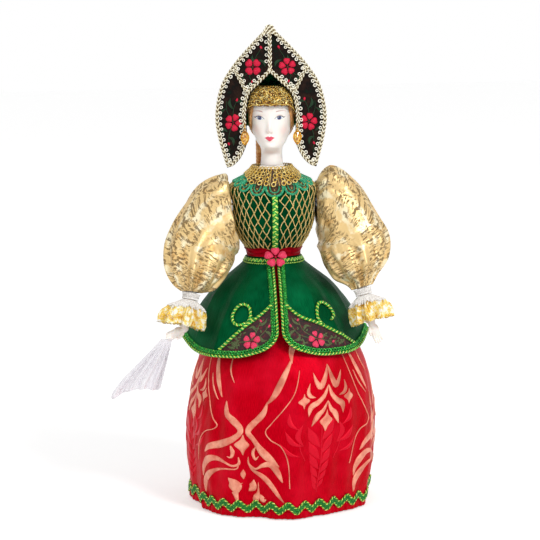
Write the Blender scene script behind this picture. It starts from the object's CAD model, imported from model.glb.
import math
import bmesh
import bpy
import numpy as np
from mathutils import Matrix, Vector


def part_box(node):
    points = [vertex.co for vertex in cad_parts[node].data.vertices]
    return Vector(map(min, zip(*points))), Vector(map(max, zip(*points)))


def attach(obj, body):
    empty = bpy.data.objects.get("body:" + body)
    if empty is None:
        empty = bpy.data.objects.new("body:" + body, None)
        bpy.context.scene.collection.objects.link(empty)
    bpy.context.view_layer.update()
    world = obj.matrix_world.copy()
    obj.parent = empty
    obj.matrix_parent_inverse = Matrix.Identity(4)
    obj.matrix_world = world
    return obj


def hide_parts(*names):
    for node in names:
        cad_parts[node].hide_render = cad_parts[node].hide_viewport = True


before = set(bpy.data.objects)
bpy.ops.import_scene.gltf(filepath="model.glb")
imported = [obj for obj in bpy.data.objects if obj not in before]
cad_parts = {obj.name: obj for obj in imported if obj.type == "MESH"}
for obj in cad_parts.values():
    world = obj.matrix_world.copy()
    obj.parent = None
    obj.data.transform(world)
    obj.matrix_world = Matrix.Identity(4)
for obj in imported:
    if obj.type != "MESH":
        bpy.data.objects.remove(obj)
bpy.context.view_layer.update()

# A porcelain costume doll in festive dress. Shapes are worked out in millimetres in the CAD frame: the doll
# faces -Y, its left arm is on the +X side and the floor is at Z = 0. Blender's objects are in metres.
MM = 0.001
random = np.random.default_rng(11)

# Driving sizes, the same as in the CAD source
CLOTH = 1.0
GAP = 0.3
WAIST_Z = 206
SHOULDER_Z = 265
NECK_BASE_Z = 283
CHIN_Z = 296
HEAD_HEIGHT = 48
CROWN_Z = CHIN_Z + HEAD_HEIGHT
WAIST_HALF_WIDTH = 20.4
WAIST_HALF_DEPTH = 17.5
SHOULDER_HALF_WIDTH = 35.2
BUST_DEPTH = 28
BACK_DEPTH = 22
NECK_RADIUS = 9.6
BODY_SQUARENESS = 0.88
HEAD_HALF_WIDTH = 16.8
FACE_DEPTH = 18
HEAD_BACK_DEPTH = 22
HEAD_TURN = math.radians(-5)
BOARD = 2
BOARD_HALF_WIDTH = 46
BOARD_RISE = 101
BOARD_DROP = 14.5
FACE_OPENING_HALF_WIDTH = 20.8
FACE_OPENING_RISE = 62
RIDGE_Y = -13.5
BOARD_TILT = math.radians(4)
PANEL_ANGLE = math.radians(12)
ARM_AXIS_Z = SHOULDER_Z - 15
WRIST_OUT = 34
WRIST_DROP = 67
WRIST_FORWARD = 35
WRIST_RADIUS = 7.3
SLEEVE_RADIUS = 30
SLEEVE_START_X = SHOULDER_HALF_WIDTH + 2 * GAP
WIRE_RADIUS = 1
PADDING_RADIUS = 6
FOREARM_RADIUS = 4.4
FOREARM_LENGTH = 45
FOREARM_HIDDEN = 14
CUFF_BAND_LENGTH = 6
RUFFLE_LENGTH = 21.5
RUFFLE_RADIUS = 17
SKIRT_HALF_WIDTH = 79
SKIRT_FOLD = 2.4
SKIRT_FOLDS = 7
SKIRT_LEAN = 5.5
SKIRT_TOP_Z = WAIST_Z - 2 - 2 * GAP
HEM_Z = 2 * GAP
HEM_STRIP = 6.5
HEM_TRIM_WIDTH = 5.6
HEM_TRIM_WAVES = 34
HEM_TRIM_SWING = 2.4
PEPLUM_HALF_WIDTH = 77
PEPLUM_DROP = 74
PEPLUM_OPENING = 1.6
PEPLUM_CORNER = 14
BELT_HEIGHT = 8.6
TAU = 2 * math.pi
SIDES = ("left", "right")


# Numbers and points. A point is the last axis of an array, in millimetres.
def mix(a, b, t):
    return a + (b - a) * t


def smooth(x, low, high):
    t = np.clip((np.asarray(x, float) - low) / (high - low), 0, 1)
    return t * t * (3 - 2 * t)


def bump(value, middle, spread):
    return np.exp(-(((value - middle) / spread) ** 2))


def vec(x, y, z):
    x, y, z = np.broadcast_arrays(*(np.asarray(part, float) for part in (x, y, z)))
    return np.stack([x, y, z], -1)


def unit(v):
    return v / np.maximum(np.linalg.norm(v, axis=-1, keepdims=True), 1e-12)


def through(pairs):
    """A smooth function through a few (position, value) pairs, level beyond both ends."""
    xs, ys = np.array(pairs, float).T
    slopes = np.empty(len(xs))
    slopes[1:-1] = (ys[2:] - ys[:-2]) / (xs[2:] - xs[:-2])
    slopes[0] = (ys[1] - ys[0]) / (xs[1] - xs[0])
    slopes[-1] = (ys[-1] - ys[-2]) / (xs[-1] - xs[-2])

    def at(x):
        x = np.clip(np.asarray(x, float), xs[0], xs[-1])
        i = np.clip(np.searchsorted(xs, x, side="right") - 1, 0, len(xs) - 2)
        width = xs[i + 1] - xs[i]
        t = (x - xs[i]) / width
        start = t * (1 - t) ** 2 * width * slopes[i]
        end = t * t * (t - 1) * width * slopes[i + 1]
        return mix(ys[i], ys[i + 1], 3 * t * t - 2 * t**3) + start + end

    return at


def curve_through(points, count=200):
    """An even run of count points along a smooth line through a few."""
    points = np.array(points, float)
    steps = np.concatenate([[0], np.cumsum(np.linalg.norm(np.diff(points, axis=0), axis=1) ** 0.5)])
    t = np.linspace(0, steps[-1], 8 * count)
    fine = np.stack([through(list(zip(steps, column)))(t) for column in points.T], -1)
    return even(fine, count)


def run_of(points):
    """How far along a line each of its points is."""
    return np.concatenate([[0], np.cumsum(np.linalg.norm(np.diff(points, axis=0), axis=1))])


def even(points, count):
    run = run_of(points)
    t = np.linspace(0, run[-1], count)
    return np.stack([np.interp(t, run, column) for column in points.T], -1)


def length_of(points):
    return np.linalg.norm(np.diff(points, axis=0), axis=1).sum()


def normals(surface, u, v):
    step = 1e-3
    across = surface(u + step, v) - surface(u - step, v)
    along = surface(u, v + step) - surface(u, v - step)
    return unit(np.cross(across, along))


def lifted(surface, u, v, lift):
    return surface(u, v) + np.asarray(lift)[..., None] * normals(surface, u, v)


def turned(points, axis, angle):
    axis = unit(np.array(axis, float))
    c, s = math.cos(angle), math.sin(angle)
    dot = (points * axis).sum(-1, keepdims=True)
    return points * c + np.cross(axis, points) * s + axis * dot * (1 - c)


def noise1(x, seed=0.0):
    """A smooth wandering value, about -1 to 1."""
    x = np.asarray(x, float)
    return (np.sin(1.0 * x + seed) + 0.7 * np.sin(2.3 * x + 1.7 * seed + 1)
            + 0.5 * np.sin(4.1 * x - seed)) / 1.9


# Meshes
class Mesh:
    """Gathers points, faces, pattern coordinates and material numbers for one piece."""

    def __init__(self):
        self.points, self.faces, self.maps, self.looks, self.count = [], [], [], [], 0

    def add(self, points, faces, coords=None, look=0):
        """faces index into points; coords gives a pattern coordinate for each corner of each face."""
        points = np.asarray(points, float).reshape(-1, 3)
        faces = np.asarray(faces, int)
        self.points.append(points)
        self.faces.append(faces + self.count)
        if coords is None:
            coords = np.zeros(faces.shape + (2,))
        self.maps.append(np.asarray(coords, float).reshape(faces.shape + (2,)))
        self.looks.append(np.full(len(faces), look))
        self.count += len(points)
        return self

    def add_grid(self, points, closed=False, coords=None, look=0, flip=False):
        """A grid of points[row, column]; closed joins the last column to the first."""
        rows, columns = points.shape[:2]
        spans = columns if closed else columns - 1
        r, c = np.meshgrid(np.arange(rows - 1), np.arange(spans), indexing="ij")
        corners = [(r, c), (r, c + 1), (r + 1, c + 1), (r + 1, c)]
        if flip:
            corners.reverse()
        faces = np.stack([a * columns + b % columns for a, b in corners], -1).reshape(-1, 4)
        if coords is None:
            coords = (np.arange(spans + 1.0), np.arange(float(rows)))
        across, down = coords
        if np.ndim(across) == 1:
            across, down = np.meshgrid(across, down)
        flat = np.stack([np.stack([across[a, b], down[a, b]], -1) for a, b in corners], -2).reshape(-1, 4, 2)
        return self.add(points, faces, flat, look)

    def add_shell(self, outer, inner, closed=False, coords=None, look=0):
        """Cloth between two grids of points, with its edges closed."""
        self.add_grid(outer, closed, coords, look)
        self.add_grid(inner, closed, coords, look, flip=True)
        for edge, flip in ((0, True), (-1, False)):
            rim = np.stack([outer[edge], inner[edge]])
            self.add_grid(rim, closed, None, look, flip)
        if not closed:
            for edge, flip in ((0, False), (-1, True)):
                rim = np.stack([outer[:, edge], inner[:, edge]])
                self.add_grid(rim, False, None, look, flip)
        return self

    def add_sweep(self, at, out, section, closed=False, look=0, scale=None, caps=True):
        """A solid swept along a line of points. out points away from what it lies on; section is
        [(side, out), ...], anticlockwise, or one such list for each point."""
        side, up = frames(at, out, closed)
        section = np.asarray(section, float)
        if section.ndim == 2:
            section = np.broadcast_to(section, (len(at),) + section.shape)
        if scale is not None:
            section = section * np.asarray(scale)[:, None, None]
        rings = at[:, None] + side[:, None] * section[..., :1] + up[:, None] * section[..., 1:]
        run = run_of(at)
        around = np.linspace(0, 1, section.shape[1] + 1)
        if closed:
            rings = np.concatenate([rings, rings[:1]])
            run = np.append(run, run[-1] + np.linalg.norm(at[0] - at[-1]))
        self.add_grid(rings, True, (around, run), look)
        if caps and not closed:
            for ring, flip in ((rings[0], False), (rings[-1], True)):
                face = np.arange(len(ring))[None]
                self.add(ring, face if flip else face[:, ::-1], None, look)
        return self

    def add_copies(self, points, faces, places, look=0):
        """Copies of a small solid. places is [(origin, x axis, y axis, z axis), ...], scaled axes allowed."""
        places = np.asarray(places, float).reshape(-1, 4, 3)
        made = places[:, None, 0] + np.einsum("pk,nkx->npx", np.asarray(points, float), places[:, 1:])
        steps = np.arange(len(places))[:, None, None] * len(points)
        return self.add(made, (np.asarray(faces)[None] + steps).reshape(-1, faces.shape[1]), None, look)

    def mirrored(self):
        copy = Mesh()
        copy.points = [p * [-1, 1, 1] for p in self.points]
        copy.faces = [f[:, ::-1] for f in self.faces]
        copy.maps = [m[:, ::-1] for m in self.maps]
        copy.looks, copy.count = list(self.looks), self.count
        return copy

    def build(self, name, looks, body="doll", instead_of=(), slot=None, smooth_shade=True):
        mesh = bpy.data.meshes.new(name)
        points = np.concatenate(self.points)
        totals = np.concatenate([np.full(len(f), f.shape[1]) for f in self.faces])
        corners = np.concatenate([f.reshape(-1) for f in self.faces])
        coords = np.concatenate([m.reshape(-1, 2) for m in self.maps])
        mesh.vertices.add(len(points))
        mesh.vertices.foreach_set("co", (points * MM).astype(np.float32).reshape(-1))
        mesh.loops.add(len(corners))
        mesh.loops.foreach_set("vertex_index", corners.astype(np.int32))
        mesh.polygons.add(len(totals))
        starts = np.concatenate([[0], np.cumsum(totals)[:-1]])
        mesh.polygons.foreach_set("loop_start", starts.astype(np.int32))
        mesh.update(calc_edges=True)
        mesh.uv_layers.new(name="Pattern").data.foreach_set("uv", coords.astype(np.float32).reshape(-1))
        mesh.polygons.foreach_set("material_index", np.concatenate(self.looks).astype(np.int32))
        mesh.polygons.foreach_set("use_smooth", np.full(len(totals), smooth_shade))
        mesh.validate()
        obj = bpy.data.objects.new(name, mesh)
        bpy.context.scene.collection.objects.link(obj)
        for look in looks if isinstance(looks, (list, tuple)) else [looks]:
            mesh.materials.append(look)
        weld(obj)
        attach(obj, body)
        if instead_of:
            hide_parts(*instead_of)
        return obj

    def build_side(self, side, part, looks, slot, body="", mirror=True, replaces=True, **more):
        """Builds the left or right one of a pair, drawn on the left, for the CAD node of that name."""
        made = self.mirrored() if side == "right" and mirror else self
        name = side.capitalize() + "_" + part
        nodes = (name.lower(),) if replaces else ()
        return made.build(name, looks, side + "_" + body if body else "doll", nodes, slot, **more)


def weld(obj):
    """Joins the points that two strips share, and turns every closed solid's faces outward."""
    made = bmesh.new()
    made.from_mesh(obj.data)
    bmesh.ops.remove_doubles(made, verts=made.verts, dist=2e-6)
    bmesh.ops.recalc_face_normals(made, faces=made.faces)
    made.to_mesh(obj.data)
    made.free()


def frames(at, out, closed=False):
    """Side and up directions along a line that lies on something."""
    if closed:
        ahead = np.roll(at, -1, axis=0) - np.roll(at, 1, axis=0)
    else:
        ahead = np.gradient(at, axis=0)
    ahead = unit(ahead)
    side = unit(np.cross(ahead, out))
    return side, unit(np.cross(side, ahead))


def circle(radius, sides, squash=1.0):
    a = np.arange(sides) * TAU / sides
    return np.stack([radius * np.cos(a), radius * squash * np.sin(a)], -1)


def even_path(at, out, step, closed=False):
    """The same line with even steps."""
    if closed:
        at = np.concatenate([at, at[:1]])
        out = np.concatenate([out, out[:1]])
    run = run_of(at)
    count = max(4, int(round(run[-1] / step)) + 1)
    t = np.linspace(0, run[-1], count)
    at = np.stack([np.interp(t, run, column) for column in at.T], -1)
    out = unit(np.stack([np.interp(t, run, column) for column in out.T], -1))
    return (at[:-1], out[:-1], run[-1]) if closed else (at, out, run[-1])


def plaited(mesh, at, out, width, height, pitch, thick, strands=3, sides=6, closed=False, looks=(0, 0, 0)):
    """A flat plait of round strands along a line."""
    at, out, total = even_path(at, out, pitch / 14, closed)
    turns = max(1, round(total / pitch)) if closed else total / pitch
    t = np.linspace(0, turns, len(at), endpoint=not closed) * TAU
    side, up = frames(at, out, closed)
    for k in range(strands):
        phase = t + k * TAU / strands
        path = at + side * (width / 2 - thick) * np.sin(phase)[:, None]
        path = path + up * (thick + (height / 2 - thick) * (1 + np.sin(2 * phase)))[:, None]
        mesh.add_sweep(path, up, circle(thick, sides), closed, looks[k % len(looks)])
    return mesh


def twisted(mesh, at, out, radius, pitch, strands=2, sides=6, closed=False, looks=(0, 0), lift=None, hand=1,
            second=1.0):
    """A round cord of twisted strands along a line. hand is -1 for the other twist, and second is how thick
    every other strand is beside the first."""
    at, out, total = even_path(at, out, pitch / 10, closed)
    turns = max(1, round(total / pitch)) if closed else total / pitch
    t = hand * np.linspace(0, turns, len(at), endpoint=not closed) * TAU
    side, up = frames(at, out, closed)
    lift = radius if lift is None else lift
    thick = radius * {1: 1.0, 2: 0.56, 3: 0.5}[strands]
    off = radius - thick
    for k in range(strands):
        phase = t + k * TAU / strands
        path = at + side * (off * np.cos(phase))[:, None] + up * (lift + off * np.sin(phase))[:, None]
        mesh.add_sweep(path, up, circle(thick * (second if k % 2 else 1), sides), closed,
                       looks[k % len(looks)])
    return mesh


def ring_solid(radius, wire, steps=14, sides=5):
    """A small ring in its own X and Y plane."""
    a = np.arange(steps) * TAU / steps
    b = np.arange(sides) * TAU / sides
    spread = radius + wire * np.cos(b)[None]
    points = np.stack([spread * np.cos(a)[:, None], spread * np.sin(a)[:, None],
                       np.broadcast_to(wire * np.sin(b), (steps, sides))], -1)
    i, j = np.meshgrid(np.arange(steps), np.arange(sides), indexing="ij")
    faces = [((i + di) % steps) * sides + (j + dj) % sides for di, dj in ((0, 0), (1, 0), (1, 1), (0, 1))]
    return points.reshape(-1, 3), np.stack(faces, -1).reshape(-1, 4)


def dome_solid(outline, height, rings=5, base=0.0, power=2.0):
    """A cushion-topped solid over an outline [(x, y), ...] about its own middle, height tall."""
    outline = np.asarray(outline, float)
    sides = len(outline)
    shares = np.linspace(1, 0.12, rings)
    tops = [np.column_stack([outline * s, np.full(sides, base + height * (1 - s**power))]) for s in shares]
    bottom = np.column_stack([outline, np.full(sides, base - 0.15)])
    points = np.concatenate([bottom] + tops)
    r, c = np.meshgrid(np.arange(rings), np.arange(sides), indexing="ij")
    quads = np.stack([r * sides + c, r * sides + (c + 1) % sides,
                      (r + 1) * sides + (c + 1) % sides, (r + 1) * sides + c], -1).reshape(-1, 4)
    cap = rings * sides + np.arange(sides)
    return points, quads, cap[None], np.arange(sides)[::-1][None]


def add_dome(mesh, place, outline, height, look=0, rings=5, base=0.0, power=2.0):
    """place is (origin, x axis, y axis, z axis)."""
    points, quads, cap, foot = dome_solid(outline, height, rings, base, power)
    place = np.asarray(place, float)
    made = place[0] + points @ place[1:]
    start = mesh.count
    mesh.points.append(made)
    for group in (quads, cap, foot):
        mesh.faces.append(group + start)
        mesh.maps.append(points[group][..., :2])
        mesh.looks.append(np.full(len(group), look))
    mesh.count += len(made)
    return mesh


# Node materials. A Signal is a socket with arithmetic.
class Signal:
    def __init__(self, look, socket):
        self.look, self.socket = look, socket

    def op(self, kind, *others):
        return self.look.math(kind, self, *others)

    def __add__(self, other):
        return self.op("ADD", other)

    def __mul__(self, other):
        return self.op("MULTIPLY", other)

    def __rsub__(self, other):
        return self.look.math("SUBTRACT", other, self)

    __radd__ = __add__
    __rmul__ = __mul__

    def sin(self):
        return self.op("SINE")

    def least(self, other):
        return self.op("MINIMUM", other)

    def most(self, other):
        return self.op("MAXIMUM", other)

    def step(self, low, high):
        """0 below low and 1 above high, or the reverse when low is above high."""
        node = self.look.node("ShaderNodeMapRange")
        node.interpolation_type = "SMOOTHSTEP"
        lower, upper, first, last = (low, high, 0, 1) if low < high else (high, low, 1, 0)
        self.look.put(node.inputs["Value"], self)
        node.inputs["From Min"].default_value = lower
        node.inputs["From Max"].default_value = upper
        node.inputs["To Min"].default_value = first
        node.inputs["To Max"].default_value = last
        return Signal(self.look, node.outputs["Result"])


LOOKS = {}
SETTINGS = {"metallic": "Metallic", "sheen": "Sheen Weight", "coat": "Coat Weight",
            "coat_roughness": "Coat Roughness", "roughness": "Roughness", "colour": "Base Color",
            "specular": "Specular IOR Level", "edge_tint": "Specular Tint", "subsurface": "Subsurface Weight",
            "scale": "Subsurface Scale", "radius": "Subsurface Radius", "alpha": "Alpha"}


class Nodes:
    """A node tree being made."""

    def __init__(self, tree):
        self.tree = tree

    def node(self, kind):
        return self.tree.nodes.new(kind)

    def put(self, socket, value):
        if isinstance(value, Signal):
            self.tree.links.new(value.socket, socket)
        elif isinstance(value, (tuple, list)) and socket.type == "RGBA" and len(value) == 3:
            socket.default_value = (*value, 1)
        else:
            socket.default_value = value

    def math(self, kind, *values):
        node = self.node("ShaderNodeMath")
        node.operation = kind
        for socket, value in zip(node.inputs, values):
            self.put(socket, value)
        return Signal(self, node.outputs[0])

    def places(self):
        """Where a point is in the object, in millimetres."""
        node = self.node("ShaderNodeTexCoord")
        scale = self.node("ShaderNodeVectorMath")
        scale.operation = "SCALE"
        self.tree.links.new(node.outputs["Object"], scale.inputs[0])
        scale.inputs["Scale"].default_value = 1000
        return Signal(self, scale.outputs[0])

    def pattern(self):
        """The pattern coordinates of a piece, as two signals."""
        node = self.node("ShaderNodeUVMap")
        node.uv_map = "Pattern"
        return self.split(Signal(self, node.outputs[0]))[:2]

    def split(self, vector):
        node = self.node("ShaderNodeSeparateXYZ")
        self.put(node.inputs[0], vector)
        return [Signal(self, out) for out in node.outputs]

    def join(self, x, y, z=0.0):
        node = self.node("ShaderNodeCombineXYZ")
        for socket, value in zip(node.inputs, (x, y, z)):
            self.put(socket, value)
        return Signal(self, node.outputs[0])

    def noise(self, size, vector=None, detail=3.0, stretch=None, rough=0.55):
        """Soft random values from 0 to 1; size is the size of its patches in millimetres."""
        node = self.node("ShaderNodeTexNoise")
        node.inputs["Scale"].default_value = 1 / size
        node.inputs["Detail"].default_value = detail
        node.inputs["Roughness"].default_value = rough
        vector = self.places() if vector is None else vector
        if stretch:
            scale = self.node("ShaderNodeVectorMath")
            scale.operation = "MULTIPLY"
            self.put(scale.inputs[0], vector)
            scale.inputs[1].default_value = stretch
            vector = Signal(self, scale.outputs[0])
        self.put(node.inputs["Vector"], vector)
        return Signal(self, node.outputs["Fac"])

    def cells(self, size, vector=None, output="Distance"):
        node = self.node("ShaderNodeTexVoronoi")
        node.inputs["Scale"].default_value = 1 / size
        self.put(node.inputs["Vector"], self.places() if vector is None else vector)
        return Signal(self, node.outputs[output])

    def mixed(self, share, first, second):
        node = self.node("ShaderNodeMix")
        node.data_type = "RGBA"
        self.put(node.inputs["Factor"], share)
        lower, upper = [socket for socket in node.inputs if socket.type == "RGBA"]
        self.put(lower, first)
        self.put(upper, second)
        return Signal(self, [socket for socket in node.outputs if socket.type == "RGBA"][0])

    def ramp(self, share, *stops):
        node = self.node("ShaderNodeValToRGB")
        self.put(node.inputs[0], share)
        elements = node.color_ramp.elements
        while len(elements) < len(stops):
            elements.new(0.5)
        for element, (at, colour) in zip(elements, stops):
            element.position = at
            element.color = (*colour, 1)
        return Signal(self, node.outputs[0])

    def attribute(self, name):
        node = self.node("ShaderNodeAttribute")
        node.attribute_name = name
        return Signal(self, node.outputs["Fac"])


class Look(Nodes):
    """A material being made, which LOOKS holds under its name."""

    def __init__(self, name, colour, roughness, **shader):
        self.material = bpy.data.materials.new(name)
        self.material.use_nodes = True
        super().__init__(self.material.node_tree)
        self.shader = self.tree.nodes["Principled BSDF"]
        self.heights = None
        LOOKS[name] = self.material
        for key, value in dict(shader, colour=colour, roughness=roughness).items():
            self.set(key, value)

    def set(self, key, value):
        self.put(self.shader.inputs[SETTINGS[key]], value)

    def bump(self, height, depth, strength=1.0):
        """Relief: height from 0 to 1 stands depth millimetres high."""
        node = self.node("ShaderNodeBump")
        node.inputs["Strength"].default_value = strength
        node.inputs["Distance"].default_value = depth * MM
        self.put(node.inputs["Height"], height)
        if self.heights is not None:
            self.tree.links.new(self.heights.socket, node.inputs["Normal"])
        self.heights = Signal(self, node.outputs[0])
        self.tree.links.new(node.outputs[0], self.shader.inputs["Normal"])


def linear(red, green, blue):
    """A colour given as it looks on screen, 0 to 255."""
    return tuple((c / 255 / 12.92) if c <= 10 else ((c / 255 + 0.055) / 1.055) ** 2.4
                 for c in (red, green, blue))


def weave(look, thread=0.35, depth=0.05, twill=False):
    """Fine threads over and under, along the pattern coordinates."""
    u, v = look.pattern()
    across = (u * (TAU / thread)).sin()
    down = (v * (TAU / thread)).sin()
    if twill:
        height = ((u + v) * (TAU / thread / 2)).sin() * 0.5 + down * 0.2 + 0.5
    else:
        height = across * down * 0.5 + 0.5
    look.bump(height, depth)


def satin_look(name, colour, deep, light):
    """Satin: smooth long floats of thread, slightly streaked, whose shine has the colour of the silk."""
    look = Look(name, colour, 0.36, metallic=0.25, specular=0.08)
    look.set("edge_tint", light)
    u, v = look.pattern()
    streaks = look.noise(1.0, look.join(u * 1.4, v * 0.12), detail=4.0)
    clouds = look.noise(22.0, detail=2.0)
    base = look.mixed(streaks.step(0.25, 0.8), deep, colour)
    look.set("colour", look.mixed(clouds.step(0.35, 0.75) * 0.35, base, light))
    look.set("roughness", 0.3 + streaks * 0.14)
    look.bump(streaks, 0.10, 0.5)
    weave(look, 0.4, 0.03)


def tinsel_look(name, colour, spark, metallic, roughness, grain, glitter):
    """Metallic thread: fine wrapped foil that glints here and there."""
    look = Look(name, colour, roughness, metallic=metallic, specular=0.6)
    patches = look.cells(grain, output="Color")
    value = look.split(patches)[0]
    look.set("colour", look.mixed(value.step(glitter, 1.0), colour, spark))
    look.set("roughness", 0.22 + look.split(patches)[1] * 0.3)
    around, along = look.pattern()
    wrap = ((along * (TAU / 0.5)) + (around * TAU)).sin() * 0.5 + 0.5
    look.bump(look.cells(grain * 0.8), 0.12)
    look.bump(wrap, 0.06)


# Looks that differ in little but colour. Colours are as they look on screen.
SATINS = {  # silk, its deep places and its shine
    "green_satin": ((2, 88, 48), (0, 60, 32), (14, 122, 74)),
    "bodice_satin": ((0, 66, 34), (0, 44, 22), (8, 92, 52)),
    "hood_satin": ((14, 122, 70), (4, 92, 50), (30, 150, 92)),
    "red_ribbon": ((164, 2, 24), (112, 0, 12), (200, 20, 44)),
}
TINSELS = {  # foil, its glints, how metallic, how rough, the glints' size in millimetres, and how few
    "cream_thread": ((252, 244, 214), (255, 253, 242), 0.04, 0.5, 0.7, 0.5),
    "white_cord": ((254, 248, 228), (255, 254, 246), 0.05, 0.5, 0.7, 0.5),
    "rope_gap": ((112, 90, 44), (170, 144, 84), 0.4, 0.4, 0.55, 0.6),
    "green_tinsel": ((4, 118, 34), (80, 224, 90), 0.5, 0.35, 0.55, 0.66),
    "hem_green": ((6, 116, 30), (60, 176, 60), 0.4, 0.4, 0.55, 0.7),
    "lime_tinsel": ((186, 216, 70), (252, 252, 160), 0.5, 0.3, 0.55, 0.5),
    "teal_cord": ((8, 140, 98), (90, 214, 160), 0.25, 0.4, 0.55, 0.5),
    "net_thread": ((200, 166, 88), (250, 232, 170), 0.45, 0.35, 0.6, 0.5),
    "bronze_thread": ((218, 174, 62), (255, 246, 180), 0.6, 0.3, 0.6, 0.5),
    "cap_net": ((92, 54, 18), (196, 146, 70), 0.4, 0.32, 0.55, 0.5),
    "brown_net": ((50, 30, 10), (120, 80, 34), 0.3, 0.32, 0.55, 0.5),
}
FLOSSES = {  # silk, its deep stitches and its light ones
    "crimson_floss": ((216, 18, 60), (158, 4, 36), (244, 62, 96)),
    "green_floss": ((24, 54, 30), (10, 28, 16), (46, 84, 50)),
    "dark_floss": ((120, 10, 34), (70, 2, 18), (170, 30, 60)),
    "sage_floss": ((84, 98, 60), (44, 58, 36), (136, 146, 100)),
    "pink_floss": ((236, 56, 96), (190, 20, 60), (255, 120, 150)),
}
METALS = {"gold_metal": ((232, 178, 66), (180, 120, 30)), "steel": ((176, 178, 180), (120, 120, 124))}


def make_looks():
    for make, family in ((satin_look, SATINS), (floss_look, FLOSSES), (metal_look, METALS)):
        for name, shades in family.items():
            make(name, *(linear(*shade) for shade in shades))
    for name, (colour, spark, metallic, roughness, grain, glitter) in TINSELS.items():
        tinsel_look(name, linear(*colour), linear(*spark), metallic, roughness, grain, glitter)
    for make in (velvet_look, maroon_look, skirt_look, damask_look, tone_look, lame_look, gauze_look,
                 ruffle_look, porcelain_look, face_look, hair_look, sequin_look, amber_look,
                 handkerchief_look, card_look, wood_look, wadding_look):
        make()


def floss_look(name, colour, deep, light):
    """Embroidery silk: stitches side by side along the first pattern coordinate."""
    look = Look(name, colour, 0.45, specular=0.2)
    u, v = look.pattern()
    stitches = look.noise(0.5, look.join(u * 2.2, v * 0.35), detail=2.0)
    look.set("colour", look.ramp(stitches, (0.3, deep), (0.52, colour), (0.72, light)))
    look.bump(stitches, 0.25)


def velvet_look():
    look = Look("dark_velvet", linear(34, 20, 16), 0.85, specular=0.15)
    patches = look.noise(5.0, detail=5.0)
    look.set("colour",
             look.ramp(patches, (0.3, linear(10, 26, 16)), (0.45, linear(16, 8, 6)),
                       (0.66, linear(40, 24, 16))))
    look.bump(look.noise(0.5, detail=4.0), 0.2)


def maroon_look():
    """Dark figured cloth of the corners."""
    look = Look("maroon_cloth", linear(58, 12, 22), 0.75)
    patches = look.noise(2.4, detail=3.0)
    look.set("colour", look.ramp(patches, (0.34, linear(22, 20, 12)), (0.5, linear(46, 10, 16)),
                                 (0.7, linear(96, 20, 32))))
    weave(look, 0.6, 0.1)


def skirt_look():
    """Red brocade satin, with a fine weave and a slightly darker warp."""
    red, deep, light = linear(208, 2, 28), linear(170, 0, 16), linear(240, 26, 56)
    look = Look("skirt_satin", red, 0.36, metallic=0.3, specular=0.08)
    look.set("edge_tint", light)
    u, v = look.pattern()
    streaks = look.noise(0.8, look.join(u * 1.6, v * 0.15), detail=4.0)
    clouds = look.noise(30.0, detail=2.0)
    base = look.mixed(streaks.step(0.25, 0.8), deep, red)
    look.set("colour", look.mixed(clouds.step(0.4, 0.8) * 0.4, base, light))
    look.set("roughness", 0.3 + streaks * 0.14)
    look.bump(streaks, 0.08, 0.5)
    weave(look, 0.45, 0.05, twill=True)


def damask_look():
    """The brocade's figures: matt pink-gold floats, ribbed by the weft."""
    look = Look("damask", linear(232, 128, 104), 0.42, metallic=0.3, specular=0.3)
    z = look.split(look.places())[2]
    ribs = (z * (TAU / 0.7)).sin() * 0.5 + 0.5
    patches = look.noise(7.0, detail=3.0)
    base = look.ramp(patches, (0.3, linear(222, 122, 98)), (0.62, linear(252, 178, 146)))
    base = look.mixed(look.noise(24.0, detail=2.0).step(0.5, 0.68) * 0.7, base, linear(176, 92, 68))
    look.set("colour", look.mixed(ribs * 0.3, base, linear(214, 76, 70)))
    look.bump(ribs, 0.12)


def tone_look():
    """The figures woven tone on tone, only a little lighter than the ground."""
    look = Look("damask_tone", linear(226, 24, 50), 0.34, metallic=0.3, specular=0.1)
    z = look.split(look.places())[2]
    ribs = (z * (TAU / 0.8)).sin() * 0.5 + 0.5
    look.set("colour", look.mixed(ribs, linear(206, 6, 34), linear(224, 22, 48)))
    look.bump(ribs, 0.08)


def lame_look():
    """Gold lame on a pale ground: cream where it catches the light, amber in the folds, and short dark
    dashes where the foil is broken."""
    gold, pale = linear(228, 196, 136), linear(254, 247, 214)
    look = Look("lame", gold, 0.38, metallic=0.3, specular=0.35)
    u, v = look.pattern()
    drift = look.noise(9.0, look.join(u, v, 2.0), detail=2.0)
    dashes = look.noise(2.0, look.join(u * 0.36 + drift * 5.0, v * 1.3 + drift * 7.0), detail=3.0, rough=0.7)
    zones = look.noise(15.0, look.join(u, v, 4.0), detail=3.0)
    broken = dashes.step(0.49, 0.55) * zones.step(0.4, 0.48)
    clouds = look.noise(11.0, detail=3.0)
    amber = look.mixed(clouds.step(0.54, 0.7) * 0.55, gold, linear(208, 150, 66))
    base = look.mixed(look.noise(10.0, look.join(u, v, 9.0), detail=3.0).step(0.5, 0.66) * 0.7, amber, pale)
    look.set("colour", look.mixed(broken * 0.8, base, linear(98, 72, 34)))
    look.set("metallic", 0.38 - broken * 0.3)
    look.set("roughness", 0.28 + clouds * 0.2 + broken * 0.3)
    look.bump(dashes, 0.14, 0.6)
    look.bump(look.noise(4.0, detail=4.0), 0.8, 0.6)


def gauze_look():
    look = Look("white_gauze", linear(240, 236, 230), 0.75, sheen=0.3)
    net = look.noise(1.2, detail=3.0)
    look.set("colour", look.ramp(net, (0.3, linear(206, 198, 194)), (0.6, linear(248, 246, 242))))
    look.bump(net, 0.3)


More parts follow.
